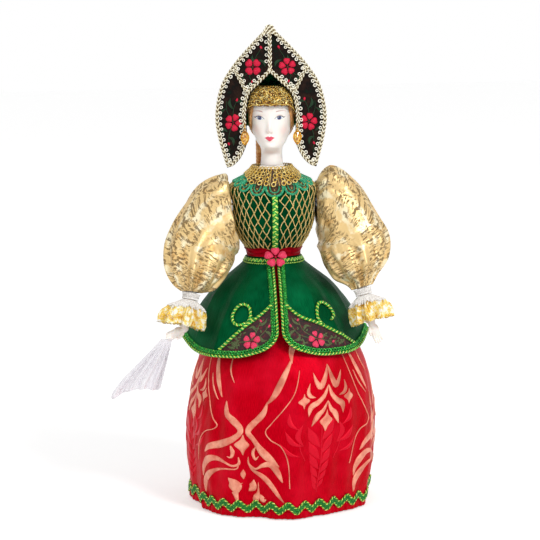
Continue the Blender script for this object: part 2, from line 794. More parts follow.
def ruffle_look():
    """White net with patches of yellow gold."""
    white, gold = linear(252, 248, 240), linear(240, 198, 48)
    look = Look("ruffle", white, 0.55, specular=0.3)
    patches = look.noise(4.2, detail=3.0)
    fine = look.noise(0.9, detail=2.0)
    base = look.ramp(patches, (0.41, white), (0.46, linear(248, 232, 140)), (0.54, gold),
                     (0.68, linear(206, 156, 44)))
    look.set("colour", look.mixed(fine.step(0.5, 0.6) * 0.45, base, white))
    look.set("metallic", patches.step(0.48, 0.6) * 0.3)
    look.bump(fine, 0.4)


def porcelain_look():
    look = Look("porcelain", linear(253, 242, 234), 0.3, coat=0.2, coat_roughness=0.15, subsurface=0.12)
    look.set("scale", 0.003)
    look.set("radius", (1.0, 0.5, 0.35))
    tint = look.noise(14.0, detail=2.0)
    look.set("colour", look.mixed(tint.step(0.4, 0.7) * 0.3, linear(255, 247, 240), linear(252, 232, 220)))


def face_look():
    """Painted porcelain. The painting is held by the head's own attributes, one for each colour."""
    look = Look("face", linear(253, 242, 234), 0.3, coat=0.15, coat_roughness=0.15, subsurface=0.1)
    look.set("scale", 0.003)
    look.set("radius", (1.0, 0.45, 0.3))
    tint = look.noise(12.0, detail=2.0)
    colour = look.mixed(tint.step(0.4, 0.7) * 0.2, linear(255, 248, 241), linear(254, 240, 230))
    for name, paint in (("blush", linear(236, 140, 128)), ("shade", linear(206, 160, 146)),
                        ("eyewhite", linear(238, 240, 244)), ("iris", linear(64, 82, 140)),
                        ("iris_rim", linear(26, 40, 84)), ("pupil", linear(10, 12, 26)),
                        ("glint", linear(255, 255, 255)), ("lash", linear(44, 26, 22)),
                        ("brow", linear(186, 132, 120)), ("lips", linear(228, 70, 96)),
                        ("lipline", linear(176, 36, 64))):
        colour = look.mixed(look.attribute(name), colour, paint)
    look.set("colour", colour)


def hair_look():
    look = Look("hair", linear(206, 130, 66), 0.42, specular=0.5)
    u, v = look.pattern()
    strands = look.noise(0.35, look.join(u, v * 0.04), detail=4.0)
    look.set("colour", look.ramp(strands, (0.3, linear(170, 100, 44)), (0.5, linear(228, 162, 92)),
                                 (0.72, linear(250, 212, 150))))
    look.bump(strands, 0.3)


def sequin_look():
    """Yellow gold sequins, each its own shade."""
    look = Look("gold_sequin", linear(222, 176, 84), 0.3, metallic=0.6)
    shade = look.split(look.cells(2.0, output="Color"))[0]
    look.set("colour", look.ramp(shade, (0.15, linear(120, 74, 20)), (0.45, linear(222, 172, 70)),
                                 (0.8, linear(255, 240, 166))))
    look.bump(look.noise(0.8, detail=3.0), 0.2)


def metal_look(name, colour, deep):
    look = Look(name, colour, 0.22, metallic=1.0)
    wear = look.noise(1.5, detail=4.0)
    look.set("colour", look.mixed(wear.step(0.35, 0.65), deep, colour))
    look.set("roughness", 0.14 + wear * 0.2)
    look.bump(look.noise(0.7, detail=3.0), 0.05)


def amber_look():
    look = Look("amber", linear(226, 142, 30), 0.08, specular=0.7, coat=0.5, subsurface=0.3)
    look.set("scale", 0.002)
    clouds = look.noise(1.6, detail=3.0)
    look.set("colour", look.ramp(clouds, (0.36, linear(150, 84, 8)), (0.5, linear(228, 156, 30)),
                                 (0.66, linear(255, 216, 100))))


def handkerchief_look():
    """Sheer white voile: threads with light between them, denser along its lace edge."""
    look = Look("handkerchief", linear(252, 250, 253), 0.7)
    u, v = look.pattern()
    threads = ((u * (TAU / 0.5)).sin() * 0.5 + 0.5).most((v * (TAU / 0.5)).sin() * 0.5 + 0.5)
    sprigs = look.cells(5.0, look.join(u, v)).step(0.32, 0.22)
    clouds = look.noise(8.0, detail=3.0)
    look.set("colour", look.mixed(clouds, linear(255, 253, 255), linear(242, 236, 246)))
    look.set("alpha", (0.3 + threads * 0.3 + sprigs * 0.35).least(1.0))
    look.bump(threads, 0.1)


def card_look():
    look = Look("card", linear(170, 146, 108), 0.9)
    fibres = look.noise(2.0, detail=6.0, stretch=(1, 1, 4))
    look.set("colour", look.mixed(fibres, linear(150, 126, 92), linear(186, 162, 124)))
    look.bump(fibres, 0.1)


def wood_look():
    look = Look("wood", linear(196, 158, 108), 0.6)
    grain = look.noise(2.0, detail=5.0, stretch=(0.15, 1, 1))
    look.set("colour", look.mixed(grain.step(0.3, 0.7), linear(160, 116, 70), linear(210, 174, 124)))
    look.bump(grain, 0.15)


def wadding_look():
    look = Look("wadding", linear(236, 232, 222), 0.95, sheen=0.5)
    fibres = look.noise(1.5, detail=6.0)
    look.set("colour", look.mixed(fibres, linear(214, 208, 196), linear(246, 242, 234)))
    look.bump(fibres, 0.6)


# The camera stands 2 m away and half a metre high, a little to the doll's right, with its top leaning
# slightly to the left of the picture.
CAMERA_DISTANCE = 2000
CAMERA_HEIGHT = 500
CAMERA_AZIMUTH = math.radians(-4)
CAMERA_PITCH = math.radians(8.7)
CAMERA_ROLL = math.radians(0.95)
CAMERA_ASIDE = math.radians(0.087)
CAMERA_LENS = 162.3


def add_camera():
    data = bpy.data.cameras.new("Camera")
    data.lens = CAMERA_LENS
    data.sensor_width = 36
    data.clip_end = 20
    camera = bpy.data.objects.new("Camera", data)
    bpy.context.scene.collection.objects.link(camera)
    s, c = math.sin(CAMERA_AZIMUTH), math.cos(CAMERA_AZIMUTH)
    down, level = math.sin(CAMERA_PITCH), math.cos(CAMERA_PITCH)
    ahead = np.array([-s * level, c * level, -down])
    right = np.array([c, s, 0])
    up = np.cross(right, ahead)
    right, up = (right * math.cos(CAMERA_ROLL) - up * math.sin(CAMERA_ROLL),
                 up * math.cos(CAMERA_ROLL) + right * math.sin(CAMERA_ROLL))
    ahead, right = (ahead * math.cos(CAMERA_ASIDE) - right * math.sin(CAMERA_ASIDE),
                    right * math.cos(CAMERA_ASIDE) + ahead * math.sin(CAMERA_ASIDE))
    place = np.array([s * CAMERA_DISTANCE, -c * CAMERA_DISTANCE, CAMERA_HEIGHT]) * MM
    matrix = [[right[i], up[i], -ahead[i], place[i]] for i in range(3)] + [[0, 0, 0, 1]]
    camera.matrix_world = Matrix(matrix)
    bpy.context.scene.camera = camera


def add_lamp(name, place, aim, size, power):
    data = bpy.data.lights.new(name, "AREA")
    data.shape = "DISK"
    data.size = size
    data.energy = power
    lamp = bpy.data.objects.new(name, data)
    bpy.context.scene.collection.objects.link(lamp)
    lamp.location = place
    lamp.rotation_euler = (Vector(aim) - Vector(place)).to_track_quat("-Z", "Y").to_euler()


def seen_ray(look):
    """1 where the camera, a reflection or a transmission looks straight at the surface."""
    rays = look.node("ShaderNodeLightPath")
    camera, gloss, through_glass = (Signal(look, rays.outputs["Is %s Ray" % kind])
                                    for kind in ("Camera", "Glossy", "Transmission"))
    return camera.most(gloss).most(through_glass)


# Each lamp: its name, its place and aim in metres, its size and its watts
LAMPS = (("Key", (1.0, -1.6, 1.7), (0, 0, 0.22), 0.6, 26), ("Fill", (-1.5, -1.2, 0.9), (0, 0, 0.2), 1.0, 4))
WORLD_LIGHT = 0.62
FLOOR_GLOW = 0.4
FLOOR_SIZE = 9
FLOOR_BELOW = 0.0002


def add_stage():
    scene = bpy.context.scene
    scene.view_settings.view_transform = "Standard"
    world = bpy.data.worlds.new("Studio")
    scene.world = world
    world.use_nodes = True
    air = Nodes(world.node_tree)
    background = air.tree.nodes["Background"]
    background.inputs["Color"].default_value = (1, 1, 1, 1)
    seen = seen_ray(air)
    air.put(background.inputs["Strength"], seen * (1 - WORLD_LIGHT) + WORLD_LIGHT)
    for lamp in LAMPS:
        add_lamp(*lamp)
    bpy.ops.mesh.primitive_grid_add(x_subdivisions=8, y_subdivisions=8, size=FLOOR_SIZE)
    floor = bpy.context.object
    floor.name = "Floor"
    look = Look("floor", (0.86, 0.86, 0.86), 0.9)
    grain = look.noise(400.0, detail=2.0)
    look.set("colour", look.mixed(grain * 0.1, (0.88, 0.88, 0.88), (0.84, 0.84, 0.84)))
    look.put(look.shader.inputs["Emission Color"], (1, 1, 1))
    look.put(look.shader.inputs["Emission Strength"], seen_ray(look) * FLOOR_GLOW)
    floor.data.materials.append(look.material)
    floor.location.z = -FLOOR_BELOW


# Body
COLLAR_FIT = 11.2


def torso_level(share):
    return mix(WAIST_Z, SHOULDER_Z, share)


def torso_width(share):
    return mix(WAIST_HALF_WIDTH, SHOULDER_HALF_WIDTH, share)


body_half_width = through([
    (WAIST_Z, WAIST_HALF_WIDTH), (torso_level(0.1), torso_width(0.02)), (torso_level(0.28), torso_width(0.5)),
    (torso_level(0.5), torso_width(0.84)), (torso_level(0.8), SHOULDER_HALF_WIDTH),
    (SHOULDER_Z, SHOULDER_HALF_WIDTH),
    (mix(SHOULDER_Z, NECK_BASE_Z, 0.5), mix(SHOULDER_HALF_WIDTH, COLLAR_FIT, 0.65)),
    (NECK_BASE_Z, COLLAR_FIT)])
body_front = through([
    (WAIST_Z, WAIST_HALF_DEPTH), (torso_level(0.12), WAIST_HALF_DEPTH),
    (torso_level(0.42), mix(WAIST_HALF_DEPTH, BUST_DEPTH, 0.86)), (torso_level(0.62), BUST_DEPTH),
    (SHOULDER_Z, mix(COLLAR_FIT, BUST_DEPTH, 0.72)), (NECK_BASE_Z, COLLAR_FIT)])
body_back = through([
    (WAIST_Z, WAIST_HALF_DEPTH), (torso_level(0.12), WAIST_HALF_DEPTH), (torso_level(0.62), BACK_DEPTH),
    (SHOULDER_Z, mix(COLLAR_FIT, BACK_DEPTH, 0.86)), (NECK_BASE_Z, COLLAR_FIT)])


def body_point(turn, z):
    def squared(value):
        return np.sign(value) * np.abs(value) ** BODY_SQUARENESS

    depth = np.where(np.cos(turn) > 0, body_front(z), body_back(z))
    return vec(body_half_width(z) * squared(np.sin(turn)), -depth * squared(np.cos(turn)), z)


def collar_bottom(turn):
    return NECK_BASE_Z - 19 * (1 - 0.4 * np.sin(turn) ** 2)


def yoke_bottom(turn):
    return NECK_BASE_Z - 25 * (1 - 0.38 * np.sin(turn) ** 2)


# Head
def head_level(share):
    return mix(CHIN_Z, CROWN_Z, share)


head_half_width = through([
    (NECK_BASE_Z, 0.97 * NECK_RADIUS), (head_level(-0.1), 0.9 * NECK_RADIUS),
    (head_level(0.02), 0.97 * NECK_RADIUS)]
    + [(head_level(share), size * HEAD_HALF_WIDTH) for share, size in (
        (0.1, 0.7), (0.18, 0.8), (0.32, 0.95), (0.6, 1), (0.78, 0.92), (0.9, 0.68), (0.97, 0.38), (1, 0.12))])
head_front = through([
    (NECK_BASE_Z, NECK_RADIUS), (head_level(-0.1), 0.96 * NECK_RADIUS)]
    + [(head_level(share), size * FACE_DEPTH) for share, size in (
        (-0.02, 0.72), (0.03, 0.95), (0.09, 1), (0.4, 0.99), (0.62, 1.02), (0.78, 0.93), (0.9, 0.7),
        (0.97, 0.4), (1, 0.12))])
head_back = through([
    (NECK_BASE_Z, NECK_RADIUS), (head_level(0.02), 1.1 * NECK_RADIUS)]
    + [(head_level(share), size * HEAD_BACK_DEPTH) for share, size in (
        (0.2, 0.72), (0.45, 0.98), (0.65, 1), (0.82, 0.86), (0.93, 0.58), (1, 0.12))])


FACE_ASIDE = -1.2


def face_relief(x, z):
    share = (z - CHIN_Z) / HEAD_HEIGHT
    side = np.abs(x - FACE_ASIDE) / HEAD_HALF_WIDTH
    nose = 3.0 * smooth(share, 0.28, 0.33) * (1 - smooth(share, 0.34, 0.62)) * bump(side, 0, 0.13)
    wings = 0.7 * bump(side, 0.13, 0.06) * bump(share, 0.305, 0.03)
    sockets = -1.3 * bump(side, 0.48, 0.25) * bump(share, 0.54, 0.08)
    balls = 0.75 * bump(side, 0.49, 0.16) * bump(share, 0.535, 0.045)
    lip = 1.0 * bump(side, 0, 0.22) * (bump(share, 0.22, 0.02) + bump(share, 0.172, 0.024))
    mouth = 0.5 * bump(side, 0, 0.28) * bump(share, 0.2, 0.05)
    chin = 1.0 * bump(side, 0, 0.3) * bump(share, 0.06, 0.07)
    cheeks = 0.5 * bump(side, 0.62, 0.25) * bump(share, 0.33, 0.12)
    return nose + wings + sockets + balls + lip + mouth + chin + cheeks


def head_point(turn, z, lift=0.0):
    relief = face_relief((head_half_width(z) + lift) * np.sin(turn), z)
    x = (head_half_width(z) + lift) * np.sin(turn)
    front = -(head_front(z) + lift) * np.cos(turn) - relief * np.sqrt(np.maximum(np.cos(turn), 0))
    back = -(head_back(z) + lift) * np.cos(turn)
    return vec(x, np.where(np.cos(turn) > 0, front, back), z)


def turn_head(points):
    angle = HEAD_TURN * smooth(points[..., 2], NECK_BASE_Z, CHIN_Z)
    c, s = np.cos(angle), np.sin(angle)
    return vec(points[..., 0] * c - points[..., 1] * s, points[..., 0] * s + points[..., 1] * c,
               points[..., 2])


# Peplum
peplum_spread = through([(0, 0), (0.07, 0.06), (0.17, 0.2), (0.33, 0.44), (0.52, 0.63), (0.74, 0.81), (1, 1)])
PEPLUM_GORES = 8
GORE_SHARPNESS = 0.55
PEPLUM_WAIST = CLOTH + 2.5 * GAP
PEPLUM_CREASE = 0.6


def peplum_drop(turn):
    quarter = bump(np.abs(np.sin(2 * turn)), 1, 0.7) * np.where(np.cos(turn) > 0, 1, 0.6)
    return PEPLUM_DROP * (0.85 + 0.15 * quarter)


def peplum_point(turn, share):
    gore = TAU / PEPLUM_GORES
    within = np.mod(turn, gore)
    flat = math.cos(gore / 2) / np.cos(within - gore / 2)
    fold = mix(1, flat, GORE_SHARPNESS * smooth(share, 0, 0.8))
    spread = peplum_spread(share)
    x = mix(WAIST_HALF_WIDTH + PEPLUM_WAIST, PEPLUM_HALF_WIDTH, spread) * fold
    y = mix(WAIST_HALF_DEPTH + PEPLUM_WAIST, 0.93 * PEPLUM_HALF_WIDTH, spread) * fold
    return vec(x * np.sin(turn), -y * np.cos(turn), WAIST_Z - share * peplum_drop(turn))


def peplum_edge_turn(share, inset):
    radius = np.abs(peplum_point(0.1, share)[..., 1])
    return np.arcsin(np.minimum(1, (PEPLUM_OPENING + inset) / radius))


def peplum_half(inset):
    def surface(u, v):
        u, v = np.broadcast_arrays(np.asarray(u, float), np.asarray(v, float))
        hem_radius = abs(peplum_point(0.0, 1.0)[1])
        end = math.pi - GAP / (2 * BACK_DEPTH) - 0.004
        along = np.maximum(u, 0) ** 1.6
        reach = along * (end - peplum_edge_turn(1.0, inset)) * hem_radius
        radius = PEPLUM_CORNER - inset
        left = np.clip(radius - reach, 0, radius)
        rise = radius - np.sqrt(radius**2 - left**2) + inset
        share = v * (1 - rise / PEPLUM_DROP)
        return peplum_point(mix(peplum_edge_turn(share, inset), end, along), share)
    return surface


def on_peplum(turn, share, lift=0.0):
    """Points and outward directions on the peplum."""
    step = 1e-3
    across = peplum_point(turn + step, share) - peplum_point(turn - step, share)
    down = peplum_point(turn, share + step) - peplum_point(turn, share - step)
    out = unit(np.cross(down, across))
    return peplum_point(turn, share) + out * (CLOTH / 2 + lift), out


def on_peplum_cloth(turn, share, lift=0.0):
    """Points and outward directions on the creased cloth."""
    turn, share = np.asarray(turn, float), np.asarray(share, float)
    return on_peplum(turn, share, (PEPLUM_CREASE * peplum_creases(turn, share) + lift)[..., None])


def to_peplum(points):
    """Turn and share of points that lie on the peplum."""
    turn = np.arctan2(points[..., 0] / PEPLUM_HALF_WIDTH, -points[..., 1] / (0.93 * PEPLUM_HALF_WIDTH))
    return turn, (WAIST_Z - points[..., 2]) / peplum_drop(turn)


def peplum_edge(inset, start, count=600):
    """The left half's line along its free edge: down the front, round the corner, along the hem."""
    surface = peplum_half(inset)
    front = surface(np.zeros(count), np.linspace(start, 1, count))
    hem = surface(np.linspace(0, 1, 4 * count) ** (1 / 1.3), np.ones(4 * count))
    turn, share = to_peplum(np.concatenate([front, hem[1:]]))
    return on_peplum_cloth(turn, share)


# Skirt
skirt_radius = through([(0, 0.91), (0.14, 0.95), (0.32, 0.98), (0.46, 0.95), (0.62, 0.84), (0.78, 0.6),
                        (0.92, 0.35), (1, 0.24)])
skirt_lean = through([(0, 0.5), (0.3, 0.85), (0.55, 1), (0.8, 0.5), (1, 0)])


def skirt_point(turn, z, lift=0.0):
    hang = smooth(1 - z / SKIRT_TOP_Z, 0.2, 0.95)
    since = turn - math.radians(4)
    folds = np.cos(SKIRT_FOLDS * since) + 0.45 * np.cos((SKIRT_FOLDS + 4) * since + 1.2)
    radius = SKIRT_HALF_WIDTH * skirt_radius(z / SKIRT_TOP_Z) + SKIRT_FOLD * folds * hang + lift
    lean = SKIRT_LEAN * skirt_lean(z / SKIRT_TOP_Z)
    return vec(lean + radius * np.sin(turn), -1.02 * radius * np.cos(turn), z)


SKIRT_CREASE = 1.15


def skirt_creases(turn, z):
    """Soft pulls and dents of thin satin, in millimetres."""
    fall = smooth(1 - z / SKIRT_TOP_Z, 0.25, 0.7)
    drift = turn + 0.0012 * (z - 60)
    soft = 0.55 * np.sin(19 * drift + 1.1 * np.sin(z / 26)) + 0.35 * np.sin(31 * turn - 0.03 * z)
    dents = 0.5 * noise1(z / 11 + 5 * np.sin(3 * turn), 1.7) * noise1(9 * turn, 0.6)
    pulls = 0.8 * np.sin(8 * turn + 0.06 * z + 1.5 * np.sin(z / 24)) * noise1(z / 30 + 2 * np.sin(turn), 0.9)
    return (soft + dents + pulls) * fall


# Sleeves and arms. Everything is drawn for the left arm; the right arm is its mirror image.
ARMHOLE = np.array([SLEEVE_START_X, 0, ARM_AXIS_Z], float)
WRIST = ARMHOLE + [WRIST_OUT, -WRIST_FORWARD, -WRIST_DROP]
FOREARM = unit(np.array([0.23, -0.22, -0.95]))
STATIONS = (0, 0.14, 0.3, 0.48, 0.66, 0.8, 0.91, 1)
CUFF_SHARE = WRIST_RADIUS / SLEEVE_RADIUS
SLEEVES = {
    "left": dict(out=(0, 0.2, 0.49, 0.73, 0.92, 0.98, 1, 1),
                 fall=(0, -0.035, 0.115, 0.345, 0.565, 0.78, 0.91, 1),
                 size=(0.57, 0.9, 0.98, 0.93, 0.93, 0.73, 0.4, CUFF_SHARE),
                 tilt=(90, 76, 60, 31, 25.5, 20, 18, 15)),
    "right": dict(out=(0, -0.05, 0.215, 0.515, 0.76, 0.885, 0.955, 1),
                  fall=(0, 0.065, 0.145, 0.32, 0.555, 0.775, 0.94, 1),
                  size=(0.6, 0.96, 1.05, 0.97, 0.93, 0.755, 0.5, CUFF_SHARE),
                  tilt=(90, 78, 60, 44, 25, 14, 13, 8)),
}
SLEEVES = {side: {key: through(list(zip(STATIONS, values))) for key, values in shape.items()}
           for side, shape in SLEEVES.items()}
SLEEVE_DIP = {"left": 2, "right": 5}


def sleeve_point(side, u, v, lift=0.0):
    shape = SLEEVES[side]
    turn = TAU * u
    tilt = np.radians(shape["tilt"](v))
    wander = 0.35 * noise1(5 * v, 2.0 if side == "left" else 4.4)
    cuffward = smooth(v, 0.4, 0.86)
    folds = (0.09 + 0.04 * noise1(4 * turn, 1.4)) * np.cos(9 * turn + 0.5 * noise1(3 * turn, 0.2)) * cuffward
    folds = (folds + 0.035 * cuffward * np.cos(17 * turn + 3 * wander)
             + 0.08 * smooth(v, 0.7, 0.9) * np.cos(13 * turn))
    puff = 0.018 * noise1(7 * turn / TAU * 2 + 3 * v, 0.5) * noise1(9 * v + 2 * np.sin(turn), 1.2)
    pleats = 0.075 * (1 - smooth(v, 0.02, 0.36)) * np.sin(11 * turn + 1)
    crumple = 0.016 * np.sin(5 * turn + 17 * v + 2 * np.sin(3 * turn)) * np.sin(14 * v + 4 * np.sin(turn))
    size = (SLEEVE_RADIUS * shape["size"](v) * (1 + folds + puff + pleats * smooth(v, 0, 0.06) + crumple)
            + lift)
    depth = size * mix(0.84, 1, smooth(v, 0.7, 1))
    fall = shape["fall"](v)
    forwards = WRIST_FORWARD * np.maximum(fall, 0) ** 1.1
    middle = ARMHOLE + vec(WRIST_OUT * shape["out"](v), -forwards, -WRIST_DROP * fall)
    across = vec(np.cos(tilt), 0, np.sin(tilt))
    forward = unit(vec(0, -1, (FOREARM[1] / FOREARM[2]) * smooth(v, 0.2, 0.9)))
    point = middle + across * (size * np.cos(turn))[..., None] + forward * (depth * np.sin(turn))[..., None]
    reach = np.hypot(point[..., 1], ARM_AXIS_Z - point[..., 2])
    dip = np.where(point[..., 2] < ARM_AXIS_Z, SLEEVE_DIP[side] * smooth(reach, 28, 34), 0)
    inner = ARMHOLE[0] - 3 * smooth(reach, 20, 28) - dip
    clear = 0.6 + 0.9 * smooth(reach, 12, 20)
    x = np.where(v > 0.001, np.maximum(point[..., 0], inner + clear + lift), point[..., 0])
    return vec(x, point[..., 1], point[..., 2])


def on_forearm(points):
    """Puts points drawn about their own axis, with -Z running down the forearm from the wrist, on the arm."""
    up = -FOREARM
    back = unit(np.array([0, 1, 0]) - up * up[1])
    return WRIST + points @ np.array([np.cross(back, up), back, up])


def grid(columns, rows):
    """u across and v down, for a surface."""
    return np.meshgrid(np.linspace(0, 1, columns), np.linspace(0, 1, rows))


def arc(points):
    """Pattern coordinates of a grid of points, in millimetres along its middle row and down a column."""
    return run_of(points[len(points) // 2]), run_of(points[:, points.shape[1] // 3])


def closed_grid(columns, rows):
    """Like grid, for a surface whose last column meets its first."""
    return np.meshgrid(np.arange(columns) / columns, np.linspace(0, 1, rows))


def rounds(columns, rows):
    """Like closed_grid, with the turn about the axis in radians in place of u."""
    u, v = closed_grid(columns, rows)
    return u * TAU, v


def arc_closed(points):
    return arc(np.concatenate([points, points[:, :1]], axis=1))


# Pieces
def add_skirt():
    turn, v = rounds(420, 100)
    z = mix(SKIRT_TOP_Z, HEM_Z + HEM_STRIP, v)
    creases = skirt_creases(turn, z)
    mesh = Mesh()
    outer = skirt_point(turn, z, CLOTH / 2 + creases * SKIRT_CREASE)
    inner = skirt_point(turn, z, -CLOTH / 2 + creases * SKIRT_CREASE)
    mesh.add_shell(outer, inner, True, arc_closed(outer))
    mesh.build("Skirt", LOOKS["skirt_satin"], instead_of=("skirt",), slot="red_brocade")

    turn, v = rounds(720, 12)
    z = mix(HEM_Z + HEM_STRIP - GAP, HEM_Z, v)
    gathers = 0.45 * np.cos(88 * turn + 1.3 * np.sin(11 * turn)) * (0.4 + 0.6 * v) + 0.2 * np.cos(131 * turn)
    gathers = gathers + SKIRT_CREASE * skirt_creases(turn, z)
    outer = skirt_point(turn, z, CLOTH / 2 + gathers)
    mesh = Mesh()
    mesh.add_shell(outer, skirt_point(turn, z, -CLOTH / 2 + gathers), True, arc_closed(outer))
    mesh.build("Hem_Strip", LOOKS["skirt_satin"], instead_of=("hem_strip",), slot="red_brocade")


def add_hem_trim():
    """A zigzag of green tinsel with fine gold cords along both edges."""
    count = 60 * HEM_TRIM_WAVES
    turn = np.arange(count) / count * TAU
    middle = HEM_Z + HEM_STRIP + HEM_TRIM_WIDTH / 2
    wave = HEM_TRIM_SWING * np.cos(HEM_TRIM_WAVES * turn)
    mesh = Mesh()

    def line(rise, lift):
        z = middle + wave + rise
        at = skirt_point(turn, z, CLOTH / 2 + SKIRT_CREASE * skirt_creases(turn, z) + 0.1 + lift)
        return at, unit(at * [1, 1, 0])

    for rise, width in ((1.0, 2.1), (-1.0, 2.1)):
        at, out = line(rise, 0)
        plaited(mesh, at, out, width, 1.4, 4.5, 0.52, closed=True, sides=5)
    for rise in (HEM_TRIM_WIDTH / 2 - 0.3, -HEM_TRIM_WIDTH / 2 + 0.3):
        at, out = line(rise, 0)
        twisted(mesh, at, out, 0.85, 3.3, closed=True, looks=(1, 0), sides=5, lift=0.7)
    mesh.build("Hem_Trim", [LOOKS["hem_green"], LOOKS["lime_tinsel"]],
               instead_of=("hem_trim",), slot="green_braid")


def peplum_creases(turn, share):
    side = np.abs(turn)
    soft = 0.5 * np.sin(11 * side + 6 * share) * smooth(share, 0.2, 0.8)
    inside = smooth(share, 0.06, 0.5) * (1 - smooth(share, 0.8, 0.96))
    broad = sum(tall * np.maximum(0, 1 - np.abs(side - at + 0.12 * share) / wide)
                for tall, at, wide in ((5.0, 0.62, 0.34), (4.0, 1.32, 0.3), (3.4, 2.2, 0.4)))
    return soft + broad * inside + 0.35 * noise1(6 * side + 4 * share, 2.1) * noise1(9 * share, 0.4)


def add_peplum():
    u, v = grid(240, 90)
    surface = peplum_half(0)
    middle = surface(u, v)
    turn, share = to_peplum(middle)
    out = on_peplum(turn, share)[1]
    lift = peplum_creases(turn, share)[..., None] * PEPLUM_CREASE
    mesh = Mesh()
    outer = middle + out * (lift + CLOTH / 2)
    mesh.add_shell(outer, middle + out * (lift - CLOTH / 2), False, arc(outer))
    for side in SIDES:
        mesh.build_side(side, "Peplum", LOOKS["green_satin"], "green_satin")


def add_bodice():
    turn, v = rounds(260, 90)
    z = mix(WAIST_Z - 2, collar_bottom(turn) + 5, v)
    outer, inner = (lifted(body_point, turn, z, side * CLOTH / 2) for side in (1, -1))
    hole = np.hypot(outer[..., 1], outer[..., 2] - ARM_AXIS_Z)
    mesh = Mesh()
    mesh.add_shell(outer, inner, True, arc_closed(outer))
    keep = []
    for faces in mesh.faces[:2]:
        flat = hole.reshape(-1)
        keep.append(flat[(faces - faces.min()) % hole.size].min(axis=1) > 10)
    for i, kept in enumerate(keep):
        mesh.faces[i] = mesh.faces[i][kept]
        mesh.maps[i] = mesh.maps[i][kept]
        mesh.looks[i] = mesh.looks[i][kept]
    mesh.build("Bodice", LOOKS["bodice_satin"], instead_of=("bodice",), slot="green_satin")


def add_sleeve(side):
    u, v = closed_grid(260, 130)
    v = v ** 0.9
    outer = sleeve_point(side, u, v, CLOTH / 2)
    mesh = Mesh()
    mesh.add_shell(outer, sleeve_point(side, u, v, -CLOTH / 2), True, arc_closed(outer))
    mesh.build_side(side, "Sleeve", LOOKS["lame"], "gold_lame", "arm")


def add_cuff(side):
    inside = FOREARM_RADIUS + GAP
    bottom = -GAP - CUFF_BAND_LENGTH
    turn, v = rounds(200, 20)
    gathers = 0.35 * np.cos(34 * turn) + 0.2 * np.cos(21 * turn + 1)
    profile = through([(0, WRIST_RADIUS), (0.25, inside + 2.2), (0.5, inside + 1.7), (0.75, inside + 1.6),
                       (1, inside + 1.9)])
    radius = profile(v) + gathers
    outer = vec(radius * np.sin(turn), -radius * np.cos(turn), mix(-3.5 * GAP, bottom, v))
    inner = vec(inside * np.sin(turn), -inside * np.cos(turn), mix(-3.5 * GAP, bottom, v))
    mesh = Mesh()
    mesh.add_shell(on_forearm(outer), on_forearm(inner), True, arc_closed(outer))
    tie = np.arange(120) / 120 * TAU
    ring = on_forearm(vec((inside + 1.75) * np.sin(tie), -(inside + 1.75) * np.cos(tie), -3.9))
    twisted(mesh, ring, unit(ring - on_forearm(vec(0, 0, -3.9))), 0.35, 1.4, closed=True, looks=(0, 0))
    mesh.build_side(side, "Cuff_Band", LOOKS["white_gauze"], "white_lace", "arm")

    start = bottom - 2 * GAP
    spread = 0.85 if side == "left" else 1

    def ruffle(turn, v, lift):
        sway = turn + 0.16 * np.sin(3 * turn + 1) + 0.1 * np.sin(5 * turn + 4 * v)
        pleat = (1 + 0.24 * smooth(v, 0, 0.6) * np.cos(8 * sway)
                 + 0.11 * smooth(v, 0, 0.4) * np.cos(19 * sway + 2 * v))
        pleat = pleat + 0.07 * noise1(5 * sway + 3 * v, 0.8) * noise1(6 * v + sway, 2.2)
        pleat = pleat + 0.05 * np.cos(41 * turn) * smooth(v, 0, 0.2) * (1 - 0.5 * v)
        radius = mix(inside + 0.7, RUFFLE_RADIUS, 1 - np.maximum(0, 1 - v) ** 2.6) * pleat + lift
        frill = (0.8 * np.cos(60 * turn) + 1.6 * np.cos(8 * sway)) * smooth(v, 0.9, 1)
        wide = np.where(np.sin(turn) < 0, 0.78, spread)
        return on_forearm(vec(radius * mix(1, wide, v) * np.sin(turn),
                              -radius * np.cos(turn) * mix(1, 0.85, v),
                              start - RUFFLE_LENGTH * v - frill * 0.5))

    turn, v = rounds(420, 70)
    mesh = Mesh()
    outer = ruffle(turn, v, 0.4)
    mesh.add_shell(outer, ruffle(turn, v, -0.4), True, arc_closed(outer))
    mesh.build_side(side, "Cuff_Ruffle", LOOKS["ruffle"], "white_lace", "arm")

    # White lace gathered over the top of the ruffle
    turn, v = rounds(420, 30)
    long = 0.3 + 0.07 * noise1(7 * np.sin(turn) + 3 * np.cos(turn), 1.3) + 0.02 * np.cos(44 * turn)
    loose = 0.7 + (0.6 + 0.55 * np.cos(17 * turn + np.sin(5 * turn))) * smooth(v, 0.1, 0.8)
    mesh = Mesh()
    outer = ruffle(turn, long * v, loose + 0.25)
    mesh.add_shell(outer, ruffle(turn, long * v, loose - 0.25), True, arc_closed(outer))
    mesh.build_side(side, "Cuff_Lace", LOOKS["white_gauze"], "white_lace", "arm", replaces=False)


def capsule(start, end, radius, end_radius=None, sides=14, rings=5):
    """A rounded bar between two points, as rings of points from end to end."""
    start, end = np.array(start, float), np.array(end, float)
    end_radius = radius if end_radius is None else end_radius
    along = unit(end - start)
    side = unit(np.cross(along, [0.3, 1, 0.2]))
    up = np.cross(side, along)
    a = np.linspace(0, math.pi / 2, rings)
    rows = [(start - along * radius * math.cos(t), radius * math.sin(t)) for t in a]
    rows += [(end + along * end_radius * math.sin(t), end_radius * math.cos(t)) for t in a]
    turn = np.arange(sides) / sides * TAU
    ring = side * np.cos(turn)[:, None] + up * np.sin(turn)[:, None]
    return np.stack([middle + ring * max(size, 1e-3) for middle, size in rows])


